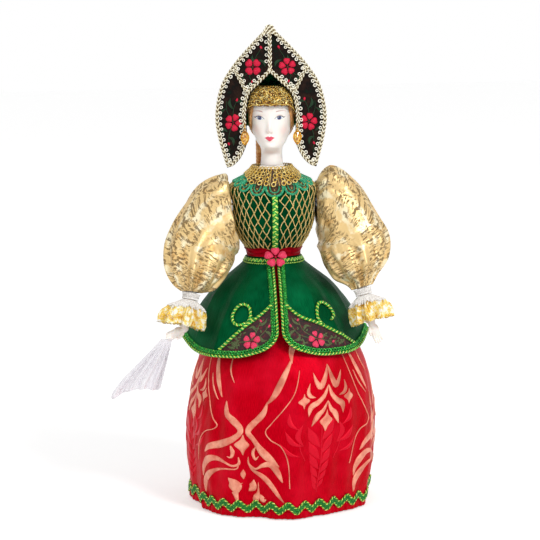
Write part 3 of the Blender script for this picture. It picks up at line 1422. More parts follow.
def remeshed(obj, voxel, smoothing):
    """Joins the overlapping solids of a piece into one smooth skin."""
    for kind, settings in (("REMESH", dict(mode="VOXEL", voxel_size=voxel * MM)),
                           ("SMOOTH", dict(factor=0.5, iterations=smoothing))):
        modifier = obj.modifiers.new(kind.title(), kind)
        for key, value in settings.items():
            setattr(modifier, key, value)
    mesh = bpy.data.meshes.new_from_object(obj.evaluated_get(bpy.context.evaluated_depsgraph_get()))
    mesh.polygons.foreach_set("use_smooth", np.full(len(mesh.polygons), True))
    obj.modifiers.clear()
    materials = list(obj.data.materials)
    obj.data = mesh
    mesh.materials.clear()
    for material in materials:
        mesh.materials.append(material)
    return obj


PALM_LENGTH = 8.5
FINGER_LENGTH = 8.2
FINGER_DIP = 1.6
FINGER_SPACING = 1.75
HAND_BEND = {"left": math.radians(-8), "right": math.radians(-52)}


def add_hand(side):
    mesh = Mesh()
    length = FOREARM_LENGTH - FOREARM_HIDDEN

    def bar(start, end, radius, end_radius=None):
        mesh.add_grid(in_place(capsule(start, end, radius, end_radius)), True)

    def in_place(points):
        return on_forearm(turned(points, (0, 1, 0), HAND_BEND[side]) + [0, 0, -length])

    turn, v = closed_grid(28, 20)
    polar = v * math.pi
    palm = vec(4.1 * np.sin(polar) * np.sin(turn * TAU), 2.2 * np.sin(polar) * np.cos(turn * TAU),
               -5 + 5.27 * np.cos(polar))
    mesh.add_grid(in_place(palm), True)
    bar((0, 0, 1), (0, 0, -4), 2.9)
    for i in range(4):
        x = (i - 1.5) * FINGER_SPACING
        reach = FINGER_LENGTH - 1.1 * abs(i - 1.3)
        knuckle = np.array([x, -0.2, 0.6 - PALM_LENGTH])
        joint = np.array([1.06 * x, -0.2, -PALM_LENGTH - 0.5 * reach])
        bar(knuckle, joint, 1.05, 0.98)
        bar(joint, (1.12 * x, -FINGER_DIP, -PALM_LENGTH - reach), 0.98, 0.8)
    bar((-3, -0.6, -2.5), (-4.4, -1.6, -5.8), 1.25, 1.15)
    bar((-4.4, -1.6, -5.8), (-4.6, -2.6, -8.5), 1.15, 0.9)
    mesh.add_grid(on_forearm(capsule((0, 0, FOREARM_HIDDEN - 3), (0, 0, -length), FOREARM_RADIUS, 3.1, 28)),
                  True)
    hand = mesh.build_side(side, "Hand", LOOKS["porcelain"], "porcelain", "hand")
    remeshed(hand, 0.32, 4)


HANDKERCHIEF_DROP = 48.6
HANDKERCHIEF_GATHER = 9.5
hem_out = through([(0, 0.93), (0.3, 0.62), (0.55, 0.4), (0.78, 0.23), (1, 0.12)])
hem_drop = through([(0, 1), (0.3, 0.87), (0.55, 0.83), (0.78, 0.88), (0.9, 0.875), (1, 0.82)])


def right_fingertips():
    tips = turned(np.array([0, -FINGER_DIP, -PALM_LENGTH - FINGER_LENGTH]), (0, 1, 0), HAND_BEND["right"])
    return on_forearm(tips + [0, 0, FOREARM_HIDDEN - FOREARM_LENGTH]) * [-1, 1, 1]


def handkerchief_point(u, v, lift=0.0):
    held = HANDKERCHIEF_GATHER * (u - 0.5)
    bulge = 0.4 * v * np.abs(v) * np.maximum(0, 1 - v) ** 0.6 * (1 - u) ** 2
    x = mix(held, -HANDKERCHIEF_DROP * hem_out(u), v) - HANDKERCHIEF_DROP * bulge
    fold = 3.5 * np.sin(3 * math.pi * u) * v + 2.0 * np.sin(9 * math.pi * u + 3 * v) * smooth(v, 0.02, 0.5)
    fold = fold + 0.5 * np.sin(23 * math.pi * u + 2) * v
    return vec(x, fold + lift, -HANDKERCHIEF_DROP * hem_drop(u) * v)


def add_handkerchief():
    top = right_fingertips() + [0.6, -1.2, -0.4]
    u, v = grid(150, 110)
    sides = [handkerchief_point(u, v, lift) + top for lift in (0.12, -0.12)]
    mesh = Mesh()
    mesh.add_shell(sides[0], sides[1], False, arc(sides[0]))
    cloth = mesh.build("Handkerchief", LOOKS["handkerchief"], "right_hand", ("handkerchief",), "white_lace")
    return cloth, sides[0]


def add_head():
    turn, v = closed_grid(300, 10)
    fine = np.concatenate([np.linspace(-0.3, 0, 12)[:-1], np.linspace(0, 0.75, 200),
                           np.linspace(0.75, 1, 40)[1:]])
    z = head_level(fine)[:, None] + 0 * turn[:1]
    turn = TAU * turn[:1] + 0 * z
    turn = turn - 0.3 * np.sin(turn)
    skin = turn_head(head_point(turn, z))
    mesh = Mesh()
    mesh.add_grid(skin[::-1], True, arc_closed(skin))
    top, bottom = skin[-1].mean(axis=0), skin[0].mean(axis=0)
    count = skin.shape[1]
    ring = np.arange(count)
    fan = np.stack([ring, (ring + 1) % count, np.full(count, count)], -1)
    mesh.add(np.concatenate([skin[-1], top[None]]), fan)
    mesh.add(np.concatenate([skin[0], bottom[None]]), fan[:, ::-1])
    # The breast plate that joins the head to the shoulders, under the bodice and collar
    turn, v = rounds(160, 30)
    inset = CLOTH / 2 + 5.5 * GAP
    z = mix(262, NECK_BASE_Z, v)
    plate = lifted(body_point, turn, z, -inset)
    mesh.add_shell(plate, lifted(body_point, turn, z, -inset - 2.5), True, arc_closed(plate))
    head = mesh.build("Head", [LOOKS["face"]], instead_of=("head",), slot="porcelain")
    paint_face(head)


EYE_X = 8.1
EYE_Z = head_level(0.54)


def paint_face(head):
    """Paint worked out by formula for every point of the skin, in front of the head."""
    mesh = head.data
    places = np.empty(len(mesh.vertices) * 3, np.float32)
    mesh.vertices.foreach_get("co", places)
    places = places.reshape(-1, 3) / MM
    c, s = math.cos(-HEAD_TURN), math.sin(-HEAD_TURN)
    x = places[:, 0] * c - places[:, 1] * s
    y = places[:, 0] * s + places[:, 1] * c
    z = places[:, 2]
    front = smooth(-y, 2, 6) * smooth(z, 290, 293)
    x = x - FACE_ASIDE
    side = np.abs(x)

    def soft(distance, edge=0.12):
        """1 inside an outline, where distance is below 0."""
        return 1 - smooth(distance, -edge, edge)

    def spot(middle_x, middle_z, size_x, size_z, edge=0.12):
        beyond = np.hypot((side - middle_x) / size_x, (z - middle_z) / size_z) - 1
        return soft(beyond * min(size_x, size_z), edge)

    out = (side - EYE_X) / 3.7
    upper = EYE_Z + 1.75 * (1 - np.abs(out) ** 2.0) + 0.4 * out
    lower = EYE_Z - 1.3 * (1 - np.abs(out) ** 2.4) + 0.4 * out
    opening = soft(np.maximum(z - upper, lower - z), 0.14) * (np.abs(out) < 1.02)
    lid = soft(np.abs(z - upper) - (0.22 + 0.16 * smooth(out, -0.6, 0.9)), 0.12)
    lid = lid * soft(np.abs(out) - 1.08, 0.06)
    wing = soft(np.abs(z - (EYE_Z + 0.45 + 0.5 * (side - EYE_X - 3.5))) - 0.2, 0.1)
    wing = wing * smooth(side, EYE_X + 3.1, EYE_X + 3.5) * (1 - smooth(side, EYE_X + 4.7, EYE_X + 5.0))
    lash_line = soft(np.abs(z - lower) - 0.08, 0.08) * soft(np.abs(out) - 0.95, 0.08) * 0.55
    crease = soft(np.abs(z - (upper + 0.85)) - 0.1, 0.16) * soft(np.abs(out) - 0.9, 0.15) * 0.6
    brow_z = EYE_Z + 5.0 + 0.9 * (1 - ((side - 9.6) / 4.6) ** 2)
    brow = soft(np.abs(z - brow_z) - mix(0.42, 0.16, smooth(side, 7, 13)), 0.22)
    brow = brow * smooth(side, 5.0, 5.9) * (1 - smooth(side, 13.2, 14.2)) * 0.8
    mouth_z = head_level(0.2)
    upper_lip = mouth_z + 1.9 * (1 - np.minimum(side / 4.5, 1) ** 1.5) - 0.8 * bump(side, 0, 0.8)
    lower_lip = mouth_z - 2.5 * (1 - np.minimum(side / 3.5, 1) ** 1.4)
    lips = soft(np.maximum(z - upper_lip, lower_lip - z), 0.16) * soft(side - 4.2, 0.1)
    lipline = soft(np.abs(z - mouth_z + 0.12 * np.cos(side * 1.2)) - 0.07, 0.1) * soft(side - 3.9, 0.2)
    nostril = spot(1.25, head_level(0.285), 0.62, 0.3, 0.2) * 0.6
    shadow = bump(side, EYE_X, 3.6) * bump(z, EYE_Z + 2.4, 1.1) * 0.22 + bump(side, 2.2, 0.7) * bump(
        z, head_level(0.3), 1.3) * 0.2
    shadow = shadow + bump(side, 0, 2.3) * bump(z, mouth_z - 2.9, 0.6) * 0.3 + crease
    shadow = shadow + bump(side, 0, 6.5) * bump(z, CHIN_Z - 2.5, 2.6) * 0.45
    paints = {
        "blush": (0.24 * bump(side, 11.6, 4.2) * bump(z, head_level(0.335), 4.4)
                  + 0.15 * bump(side, 0, 2.4) * bump(z, head_level(0.33), 2.0)),
        "shade": np.maximum(shadow, nostril),
        "eyewhite": opening,
        "iris": opening * spot(EYE_X, EYE_Z + 0.25, 1.65, 1.65),
        "iris_rim": opening * soft(np.abs(np.hypot(side - EYE_X, z - EYE_Z - 0.25) - 1.55) - 0.12, 0.1) * 0.9,
        "pupil": opening * spot(EYE_X, EYE_Z + 0.25, 0.8, 0.8),
        "glint": opening * soft(np.hypot(x - np.sign(x) * EYE_X + 0.45, z - EYE_Z - 0.75) - 0.26, 0.08),
        "lash": np.maximum(np.maximum(lid, wing), lash_line),
        "brow": brow,
        "lips": lips,
        "lipline": lipline * 0.6,
    }
    for name, values in paints.items():
        layer = mesh.attributes.new(name, "FLOAT", "POINT")
        layer.data.foreach_set("value", np.clip(values * front, 0, 1).astype(np.float32))


def add_hair():
    """Swept-back hair in locks, from the temples round the back of the head."""
    turn, v = grid(520, 60)
    turn = mix(math.radians(60), math.radians(300), turn)
    back = np.abs(turn - math.pi)
    nape = smooth(back, math.radians(62), math.radians(96))
    temple = smooth(back, math.radians(100), math.radians(121))
    z = mix(head_level(mix(0.13, 0.31, nape) + 0.33 * temple), head_level(0.88), v)
    drift = turn + 0.25 * np.sin(3 * v * math.pi / 2)
    locks = (0.42 * np.abs(np.sin(23 * drift + 1.5 * v)) + 0.16 * np.sin(71 * drift + 3 * v)
             + 0.08 * np.sin(163 * drift))
    around = np.sin((turn - turn.min()) / np.ptp(turn) * math.pi)
    edge = smooth(v, 0, 0.12) * smooth(1 - v, 0, 0.1) * smooth(around, 0, 0.12)
    outer = turn_head(head_point(turn, z, 0.5 + (1.15 + locks) * edge))
    inner = turn_head(head_point(turn, z, 0.15))
    mesh = Mesh()
    mesh.add_shell(outer, inner, False, arc(outer))
    mesh.build("Hair", LOOKS["hair"], instead_of=("hair",), slot="hair")


def head_dome(turn, share, lift):
    z = head_level(share)
    point = head_point(turn, z, lift)
    return point + vec(0, 0, lift * smooth(share, 0.6, 1))


def cap_low(turn):
    """Lower edge of the cap: arched over the forehead, lower at the sides."""
    return mix(0.6 - 0.13 * smooth(turn, 0.5, 1.3), 0.735, smooth(np.cos(turn), -0.05, 0.8))


CAP_LIFT = 4.4
CAP_SEQUINS = 560
CAP_THREADS = 9
SEQUIN_SIDES = 8


def add_cap():
    """A crumpled gold cap: net over the head with sequins lying at all angles."""
    turn, v = grid(200, 70)
    turn = mix(-1.68, 1.68, turn)
    share = mix(cap_low(turn) + 0.012 * noise1(19 * turn, 1.1), 0.995, v ** 0.8)
    crumple = 0.3 * noise1(17 * turn + 6 * v, 0.3) * noise1(15 * v + 5 * turn, 2.0)
    outer = turn_head(head_dome(turn, share, CAP_LIFT - 0.3 + crumple))
    inner = turn_head(head_dome(turn, share, 3.0))
    mesh = Mesh()
    mesh.add_shell(outer, inner, False, arc(outer), look=1)
    count = CAP_SEQUINS
    at_turn = random.uniform(-1.6, 1.6, count)
    low = cap_low(at_turn)
    at_share = low + 0.012 + (0.96 - low) * random.uniform(0, 1, count) ** 0.8
    at = turn_head(head_dome(at_turn, at_share, CAP_LIFT))
    out = unit(turn_head(head_dome(at_turn, at_share, CAP_LIFT + 1)) - at)
    side = unit(np.cross([0, 0, 1], out) + random.normal(0, 0.3, (count, 3)))
    out = unit(out + random.normal(0, 0.42, (count, 3)))
    side = unit(side - out * (side * out).sum(-1, keepdims=True))
    radius = random.uniform(0.75, 1.05, (count, 1))
    rings = np.array([(1.0, 0.0), (0.98, 0.16), (0.55, 0.05), (0.15, 0.0)])
    corner = np.arange(SEQUIN_SIDES) / SEQUIN_SIDES * TAU
    disc = np.concatenate([np.stack([r * np.cos(corner), r * np.sin(corner), np.full(SEQUIN_SIDES, h)], -1)
                           for r, h in rings])
    r, c = np.meshgrid(np.arange(len(rings) - 1) * SEQUIN_SIDES, np.arange(SEQUIN_SIDES), indexing="ij")
    ahead = (c + 1) % SEQUIN_SIDES
    faces = np.stack([r + c, r + ahead, r + SEQUIN_SIDES + ahead, r + SEQUIN_SIDES + c], -1).reshape(-1, 4)
    places = np.stack([at, side * radius, np.cross(out, side) * radius, out * radius], 1)
    mesh.add_copies(disc, faces, places)
    # Threads that wander across the cap, and a cord that binds its edge
    edge = np.linspace(-1.64, 1.64, 220)
    for row in range(CAP_THREADS):
        wander = 0.05 * np.sin(4 * edge + 1.7 * row) + 0.03 * np.sin(9 * edge - 2.3 * row)
        share = mix(cap_low(edge), 0.95, row / CAP_THREADS) + np.abs(wander) * (1 if row else 0.3)
        line = turn_head(head_dome(edge, np.minimum(share, 0.97), CAP_LIFT + 0.1))
        away = unit(line - [0, 0, head_level(0.6)])
        twisted(mesh, line, away, 0.45, 2.2, looks=(2, 2) if row % 3 == 0 else (2, 3))
    mesh.build("Gold_Cap",
               [LOOKS["gold_sequin"], LOOKS["cap_net"], LOOKS["bronze_thread"], LOOKS["brown_net"]],
               instead_of=("gold_cap",), slot="gold_lace")


# Headdress. A panel is drawn flat, x out from the ridge and z up from the chin, and then set in place.
def centripetal(points, count=240):
    """The smooth line that a spline curve takes through its points, evenly spaced in its own steps."""
    points = np.array(points, float)
    first, last = 2 * points[0] - points[1], 2 * points[-1] - points[-2]
    every = np.concatenate([first[None], points, last[None]])
    t = np.linspace(0, len(points) - 1, count)
    i = np.minimum(t.astype(int), len(points) - 2)
    w = (t - i)[:, None]
    a, b, c, d = (every[i + k] for k in range(4))
    return 0.5 * (2 * b + (c - a) * w + (2 * a - 5 * b + 4 * c - d) * w**2 + (3 * b - a - 3 * c + d) * w**3)


def panel_point(x, z):
    return x * BOARD_HALF_WIDTH, z * BOARD_RISE


WING_TIP = (0.81 * BOARD_HALF_WIDTH, -BOARD_DROP)
OUTER_EDGE = [(0, BOARD_RISE), panel_point(0.335, 0.852), panel_point(0.67, 0.684), panel_point(0.9, 0.515),
              panel_point(1, 0.3), panel_point(0.965, 0.12), WING_TIP]
FACE_TOP = (0, FACE_OPENING_RISE)
TEMPLE = (0.84 * FACE_OPENING_HALF_WIDTH, 0.735 * FACE_OPENING_RISE)
JOWL = (FACE_OPENING_HALF_WIDTH, 0.48 * FACE_OPENING_RISE)
CHEEK = (0.98 * FACE_OPENING_HALF_WIDTH, 0.09 * FACE_OPENING_RISE)
JAW_EDGE = [CHEEK, (mix(CHEEK[0], WING_TIP[0], 0.3), mix(CHEEK[1], WING_TIP[1], 0.56)),
            (mix(CHEEK[0], WING_TIP[0], 0.68), mix(CHEEK[1], WING_TIP[1], 0.9)), WING_TIP]


def on_panel(flat, lift=0.0, side=1):
    """flat is [(x, z), ...], lift the height over the front of the board, and side -1 on the doll's right."""
    flat = np.asarray(flat, float)
    points = vec(flat[..., 0], -BOARD / 2 - np.asarray(lift), flat[..., 1] - HEAD_HEIGHT)
    points = turned(points, (0, 0, 1), PANEL_ANGLE)
    points = turned(points, (1, 0, 0), -BOARD_TILT) + [0, RIDGE_Y, CROWN_Z]
    return turned(points * [side, 1, 1], (0, 0, 1), HEAD_TURN)


def panel_out(side=1):
    return on_panel((0, 0), 1, side) - on_panel((0, 0), 0, side)


def beside(line, distance):
    """The line moved sideways in its plane, to its right as it runs."""
    tangent = unit(np.gradient(line, axis=0))
    return line + distance * np.stack([tangent[:, 1], -tangent[:, 0]], -1)


def picots(mesh, line, side, radius, wire, pitch, look):
    """A row of small round loops along a line on the panel, none quite like the next."""
    line = even(line, int(length_of(line) / pitch) + 1)
    count = len(line)
    points, faces = ring_solid(radius - wire, wire, 14, 6)
    out = unit(panel_out(side) + random.normal(0, 0.12, (count, 3)))
    across = unit(on_panel((1, 0), 0, side) - on_panel((0, 0), 0, side))
    across = unit(across - out * (out @ across)[:, None])
    size = random.uniform(0.88, 1.08, (count, 1))
    at = on_panel(line + random.normal(0, 0.16, (count, 2)), wire + 0.25, side)
    mesh.add_copies(points, faces, np.stack([at, across * size, np.cross(out, across) * size, out], 1), look)


ROPE_WIDTH = 3.2
ROPE_PITCH = 3.5
PICOT = 1.5
PICOT_WIRE = 0.42
PICOT_PITCH = 4.3


def rope(mesh, at, out, width=ROPE_WIDTH, looks=(0, 1)):
    """Two cords laid side by side with opposite twists, so that their strands meet in a herringbone."""
    side = frames(at, out)[0]
    for hand in (1, -1):
        twisted(mesh, at + side * hand * width * 0.25, out, width * 0.29, ROPE_PITCH, looks=looks, sides=7,
                hand=hand, second=0.6)


def gimp(mesh, line, side, picot=1):
    """Cream and gold rope along a line on the panel, with a row of loops on one side of it."""
    at = on_panel(line, 0.1, side)
    rope(mesh, at, np.broadcast_to(panel_out(side), at.shape))
    if picot:
        picots(mesh, beside(line, picot * (ROPE_WIDTH / 2 + 0.75 * PICOT)), side, PICOT, PICOT_WIRE,
               PICOT_PITCH, 2)


def rounded(line, reach, count=400):
    """The line with its corners rounded off over reach millimetres."""
    line = even(line, count)
    span = max(1, int(reach / (length_of(line) / (count - 1))))
    padded = np.concatenate([np.repeat(line[:1], span, axis=0), line, np.repeat(line[-1:], span, axis=0)])
    share = np.ones(2 * span + 1) / (2 * span + 1)
    soft = np.stack([np.convolve(column, share, mode="valid") for column in padded.T], -1)
    soft[0], soft[-1] = line[0], line[-1]
    return even(soft, count)


def panel_edges():
    """The rope's line from the peak down to the wing tip, and from there up to the opening's point."""
    inset = ROPE_WIDTH / 2 - 0.3
    rim = beside(centripetal(OUTER_EDGE), inset)
    rim = rim[rim[:, 0] > 0]
    rim = np.concatenate([[(0, rim[0, 1] + rim[0, 0])], rim])
    rim = rounded(np.concatenate([rim[:0:-1] * [-1, 1], rim]), 2.0, 1201)[600:]
    jaw = beside(centripetal(JAW_EDGE), -inset)
    peak, temple, jowl, cheek = (np.array(p, float) for p in (FACE_TOP, TEMPLE, JOWL, CHEEK))
    top = peak + [0, 1.9 * inset]
    start = top - unit(temple - peak) * 2.0
    opening = centripetal([start, top, mix(top, temple + [inset, inset], 0.5), temple + [inset, 0.5 * inset],
                           jowl + [inset, 0], mix(jowl, cheek, 0.5) + [inset, 0]])
    near = np.linalg.norm(rim[:, None] - jaw[None], axis=-1)
    last, first = np.unravel_index(near.argmin(), near.shape)
    inner = np.concatenate([opening, jaw[20:first]])
    whole = rounded(np.concatenate([rim[:last], inner[::-1]]), 2.2, 900)
    tip = np.linalg.norm(whole - WING_TIP, axis=-1).argmin()
    return whole[:tip + 1], whole[tip:]


def add_headdress_braids():
    rim, opening = panel_edges()
    looks = [LOOKS["cream_thread"], LOOKS["rope_gap"], LOOKS["white_cord"]]
    for name, line, node, trim in (("Rim", rim, "headdress_edge_braid", (45, -14)),
                                   ("Face", opening, "headdress_face_braid", (14, -50))):
        mesh = Mesh()
        for side in (1, -1):
            gimp(mesh, line, side, 0)
            row = beside(line, ROPE_WIDTH / 2 + 0.75 * PICOT)[trim[0]:trim[1]]
            picots(mesh, row, side, PICOT, PICOT_WIRE, PICOT_PITCH, 2)
        if name == "Rim":
            # The rope's ends are wound over the peak
            for rise in (0.4, 2.3, 4.2, 6.1):
                wide = 2.2 + 0.8 * rise
                turn = np.linspace(-1, 1, 30)
                flat = np.stack([np.abs(turn) * wide, BOARD_RISE + 0.4 - rise - 0.5 * wide * turn**2], -1)
                at = np.where(turn[:, None] > 0, on_panel(flat, 1.2, 1), on_panel(flat, 1.2, -1))
                twisted(mesh, at, np.broadcast_to(panel_out(1) + panel_out(-1), at.shape), 1.1, 3.4,
                        looks=(0, 1), sides=7, second=0.6)
        mesh.build("Headdress_" + name + "_Braid", looks, instead_of=(node,), slot="gold_braid")
    mesh = Mesh()
    line = even(np.array([(0, BOARD_RISE - 3.5), (0, FACE_OPENING_RISE + 3.5)]), 60)
    at = (on_panel(line, 0.3, 1) + on_panel(line, 0.3, -1)) / 2
    rope(mesh, at, np.broadcast_to(panel_out(1) + panel_out(-1), at.shape))
    picots(mesh, line[8:-12] + [ROPE_WIDTH / 2 + 0.6 * PICOT, 0], -1, PICOT, 0.36, PICOT_PITCH, 2)
    mesh.build("Headdress_Ridge_Braid", looks, instead_of=("headdress_ridge_braid",), slot="gold_braid")
    temple = np.array(TEMPLE) + [ROPE_WIDTH / 2, 0.8]
    upper = centripetal(OUTER_EDGE, 601)[201]
    run = unit(upper - temple)
    divider = even(np.array([temple + run * 1.5, upper - run * 2.2]), 60)
    for side, name in ((1, "left"), (-1, "right")):
        mesh = Mesh()
        gimp(mesh, divider, side, 0)
        picots(mesh, beside(divider, -(ROPE_WIDTH / 2 + 0.75 * PICOT))[8:-6], side, PICOT, PICOT_WIRE,
               PICOT_PITCH, 2)
        mesh.build_side(name, "Panel_Braid", looks, "gold_braid", mirror=False)


def hood_point(turn, share, lift=0.0):
    middle = head_level(0.5)
    rise = CHIN_Z + FACE_OPENING_RISE + 1.2 * CLOTH - middle
    size = np.sqrt(1 - np.maximum(share, 0) ** 2.6)
    up = np.cos(turn)
    point = np.where(up > 0, 1 - 0.07 * np.sin(2 * turn) ** 2 * (1 - share), 1)
    x = (HEAD_HALF_WIDTH + 4.4 + 3.5 + lift) * np.sin(turn) * point * size
    lean = mix(1, 0.88, smooth(share, 0, 0.6))
    depth = HEAD_BACK_DEPTH + 4.4 + 3 - RIDGE_Y + lift
    return vec(x, RIDGE_Y + depth * share, middle + (rise * lean + lift) * up * size)


def add_hood():
    """The satin hood behind the board, with its hem turned in at the nape."""
    turn, share = grid(180, 80)
    share = 0.9998 * np.sin(share * math.pi / 2)
    size = np.sqrt(1 - share**2.6)
    cut = head_level(0.5) - head_level(mix(0.42, 0.16, smooth(share, 0.68, 0.97)))
    limit = np.arccos(np.clip(-cut / (24.0 * np.maximum(size, 0.05)), -1, 1))
    turn = (turn * 2 - 1) * np.minimum(limit + 0.02, math.pi)
    pull = 0.35 * np.sin(26 * turn + 2) * smooth(share, 0.35, 0.95)

    def surface(lift):
        points = hood_point(turn, share, lift + pull * (0.8 if lift > 0.5 else 0.6))
        # The front edge is cut along the back of the board
        side = np.abs(points[..., 0])
        back = (RIDGE_Y + BOARD / 2 + GAP + 0.2 + side * math.tan(PANEL_ANGLE)
                + (CROWN_Z - points[..., 2]) * -math.tan(BOARD_TILT))
        points[..., 1] = np.maximum(points[..., 1], back)
        return turned(points, (0, 0, 1), HEAD_TURN)

    mesh = Mesh()
    outer = surface(CLOTH)
    mesh.add_shell(outer, surface(0.0), False, arc(outer))
    for line in (outer[:, 0], outer[:, -1]):
        twisted(mesh, line, unit(line - [0, 5, 330]), 0.7, 3.0, looks=(0, 0), lift=0)
    mesh.build("Headdress_Hood", LOOKS["hood_satin"], instead_of=("headdress_hood",), slot="green_satin")


def add_plait():
    """A plait of three locks, tied with a ribbon bow."""
    behind = CLOTH / 2 + 3.4 + 4 + 4 * GAP
    nape = head_level(0.13) - 1.3
    line = curve_through([
        (-8, NECK_RADIUS + 6, nape), (-8, COLLAR_FIT + 3.4 + 5.2, NECK_BASE_Z + 3),
        (-8, mix(COLLAR_FIT, BACK_DEPTH, 0.6) + behind, mix(SHOULDER_Z, NECK_BASE_Z, 0.45)),
        (-8, 0.95 * BACK_DEPTH + behind, SHOULDER_Z - 4), (-6.4, 0.95 * BACK_DEPTH + behind, SHOULDER_Z - 24),
        (-5.6, 0.9 * BACK_DEPTH + behind, nape - 76)], 400)
    side, up = frames(line, np.broadcast_to([0.0, 1.0, 0.3], line.shape))
    t = np.linspace(0, 1, len(line))
    size = 4 * mix(1, 0.7, t)
    mesh = Mesh()
    turns = t * 7.5 * TAU
    for k in range(3):
        phase = turns + k * TAU / 3
        path = (line + side * (size * 0.46 * np.sin(phase))[:, None]
                + up * (size * 0.36 * np.sin(2 * phase))[:, None])
        lock = np.arange(26) / 26 * TAU
        ridges = 1 + 0.07 * np.cos(9 * lock)
        section = np.stack([np.cos(lock) * ridges, np.sin(lock) * ridges], -1)
        thick = size * 0.5 * (1 - 0.15 * np.cos(2 * phase)) * mix(1, 0.6, smooth(t, 0.93, 1))
        mesh.add_sweep(path, up, section, scale=thick)
    mesh.build("Plait", LOOKS["hair"], "plait", ("plait",), "hair")
    bow = Mesh()
    i = int(0.88 * len(line))
    middle, size = line[i], size[i]
    ring = np.arange(60) / 60 * TAU
    for z in np.linspace(-2.4, 2.4, 7):
        r = size * 1.12 + 0.35 * math.cos(z)
        circle_points = middle + vec(r * np.cos(ring), r * np.sin(ring), z)
        bow.add_sweep(circle_points, circle_points - middle, circle(0.45, 8), closed=True)
    for direction in (-1, 1):
        loop = curve_through([(0, size, 0), (direction * 4, size + 2.2, 2.2),
                              (direction * 7.5, size + 1.6, 0.6), (direction * 4, size + 1.2, -1.4),
                              (0, size + 0.2, 0)], 60)
        tail = curve_through([(0, size + 0.4, 0), (direction * 2.2, size + 1.3, -5),
                              (direction * 3.4, size + 0.9, -11)], 40)
        for path in (loop, tail):
            bow.add_sweep(middle + path, np.broadcast_to([0.0, 1.0, 0.2], path.shape),
                          [(-0.25, -1.5), (0.25, -1.5), (0.25, 1.5), (-0.25, 1.5)])
    bow.build("Plait_Tie", LOOKS["red_ribbon"], "plait", ("plait_tie",), "red_ribbon", smooth_shade=False)


YOKE_IN = CLOTH / 2 + GAP
COLLAR_IN = YOKE_IN + 0.8 + 2 * GAP
COLLAR_OUT = COLLAR_IN + 1.2


def on_body(turn, z, lift=0.0):
    step = 1e-3
    across = body_point(turn + step, z) - body_point(turn - step, z)
    rise = body_point(turn, z + step) - body_point(turn, z - step)
    out = unit(np.cross(across, rise))
    return body_point(turn, z) + out * np.asarray(lift)[..., None], out


COLLAR_COLUMNS = 36


def ruff_bottom(turn):
    return collar_bottom(turn) + 1.8


def add_earring(side):
    """A faceted amber drop in a beaded gold frame."""
    low, high = (np.array(corner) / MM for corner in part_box(side + "_earring_setting"))
    stone_low, stone_high = (np.array(corner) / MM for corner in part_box(side + "_earring_stone"))
    middle, size = (stone_low + stone_high) / 2, high - low
    wide, tall = size[0] * 0.5, size[2] * 0.5
    a = np.arange(16) / 16 * TAU
    narrowing = 1 - 0.42 * np.maximum(-np.cos(a), 0) ** 1.5
    pear = np.stack([0.86 * wide * np.sin(a) * narrowing, 0.86 * tall * np.cos(a)], -1)[::-1]
    front = np.array([0, -1.0, 0])
    place = (middle + [0, 0.4, 0], np.array([1.0, 0, 0]), np.array([0, 0, 1.0]), front)
    stone = Mesh()
    for sign in (1, -1):
        facing = (place[0], place[1], place[2], front * sign)
        add_dome(stone, facing, pear * 0.86, 1.9 if sign > 0 else 0.9, 0, 4, power=1.1)
    stone.build_side(side, "Earring_Stone", LOOKS["amber"], "amber", "earring", mirror=False,
                     smooth_shade=False)
    setting = Mesh()
    t = np.arange(120) / 120 * TAU
    line = np.stack([np.interp(t, np.append(a, TAU), np.append(column, column[0])) for column in pear.T], -1)
    at = place[0] + vec(line[:, 0], 0, line[:, 1])
    twisted(setting, at, np.broadcast_to(front, at.shape), 0.55, 1.6, closed=True, looks=(0, 0), lift=0.1)
    ring = np.arange(40) / 40 * TAU
    top = place[0] + [0, 0, 0.86 * tall + 0.8]
    at = top + vec(0.85 * np.sin(ring), 0, 0.85 * np.cos(ring))
    setting.add_sweep(at, at - top, circle(0.28, 6), closed=True)
    add_dome(setting, (place[0] + [0, 0.5, 0], place[1], place[2], -front), pear * 0.95, 0.4, 0, 3)
    setting.build_side(side, "Earring_Setting", LOOKS["gold_metal"], "gold_metal", "earring", mirror=False)


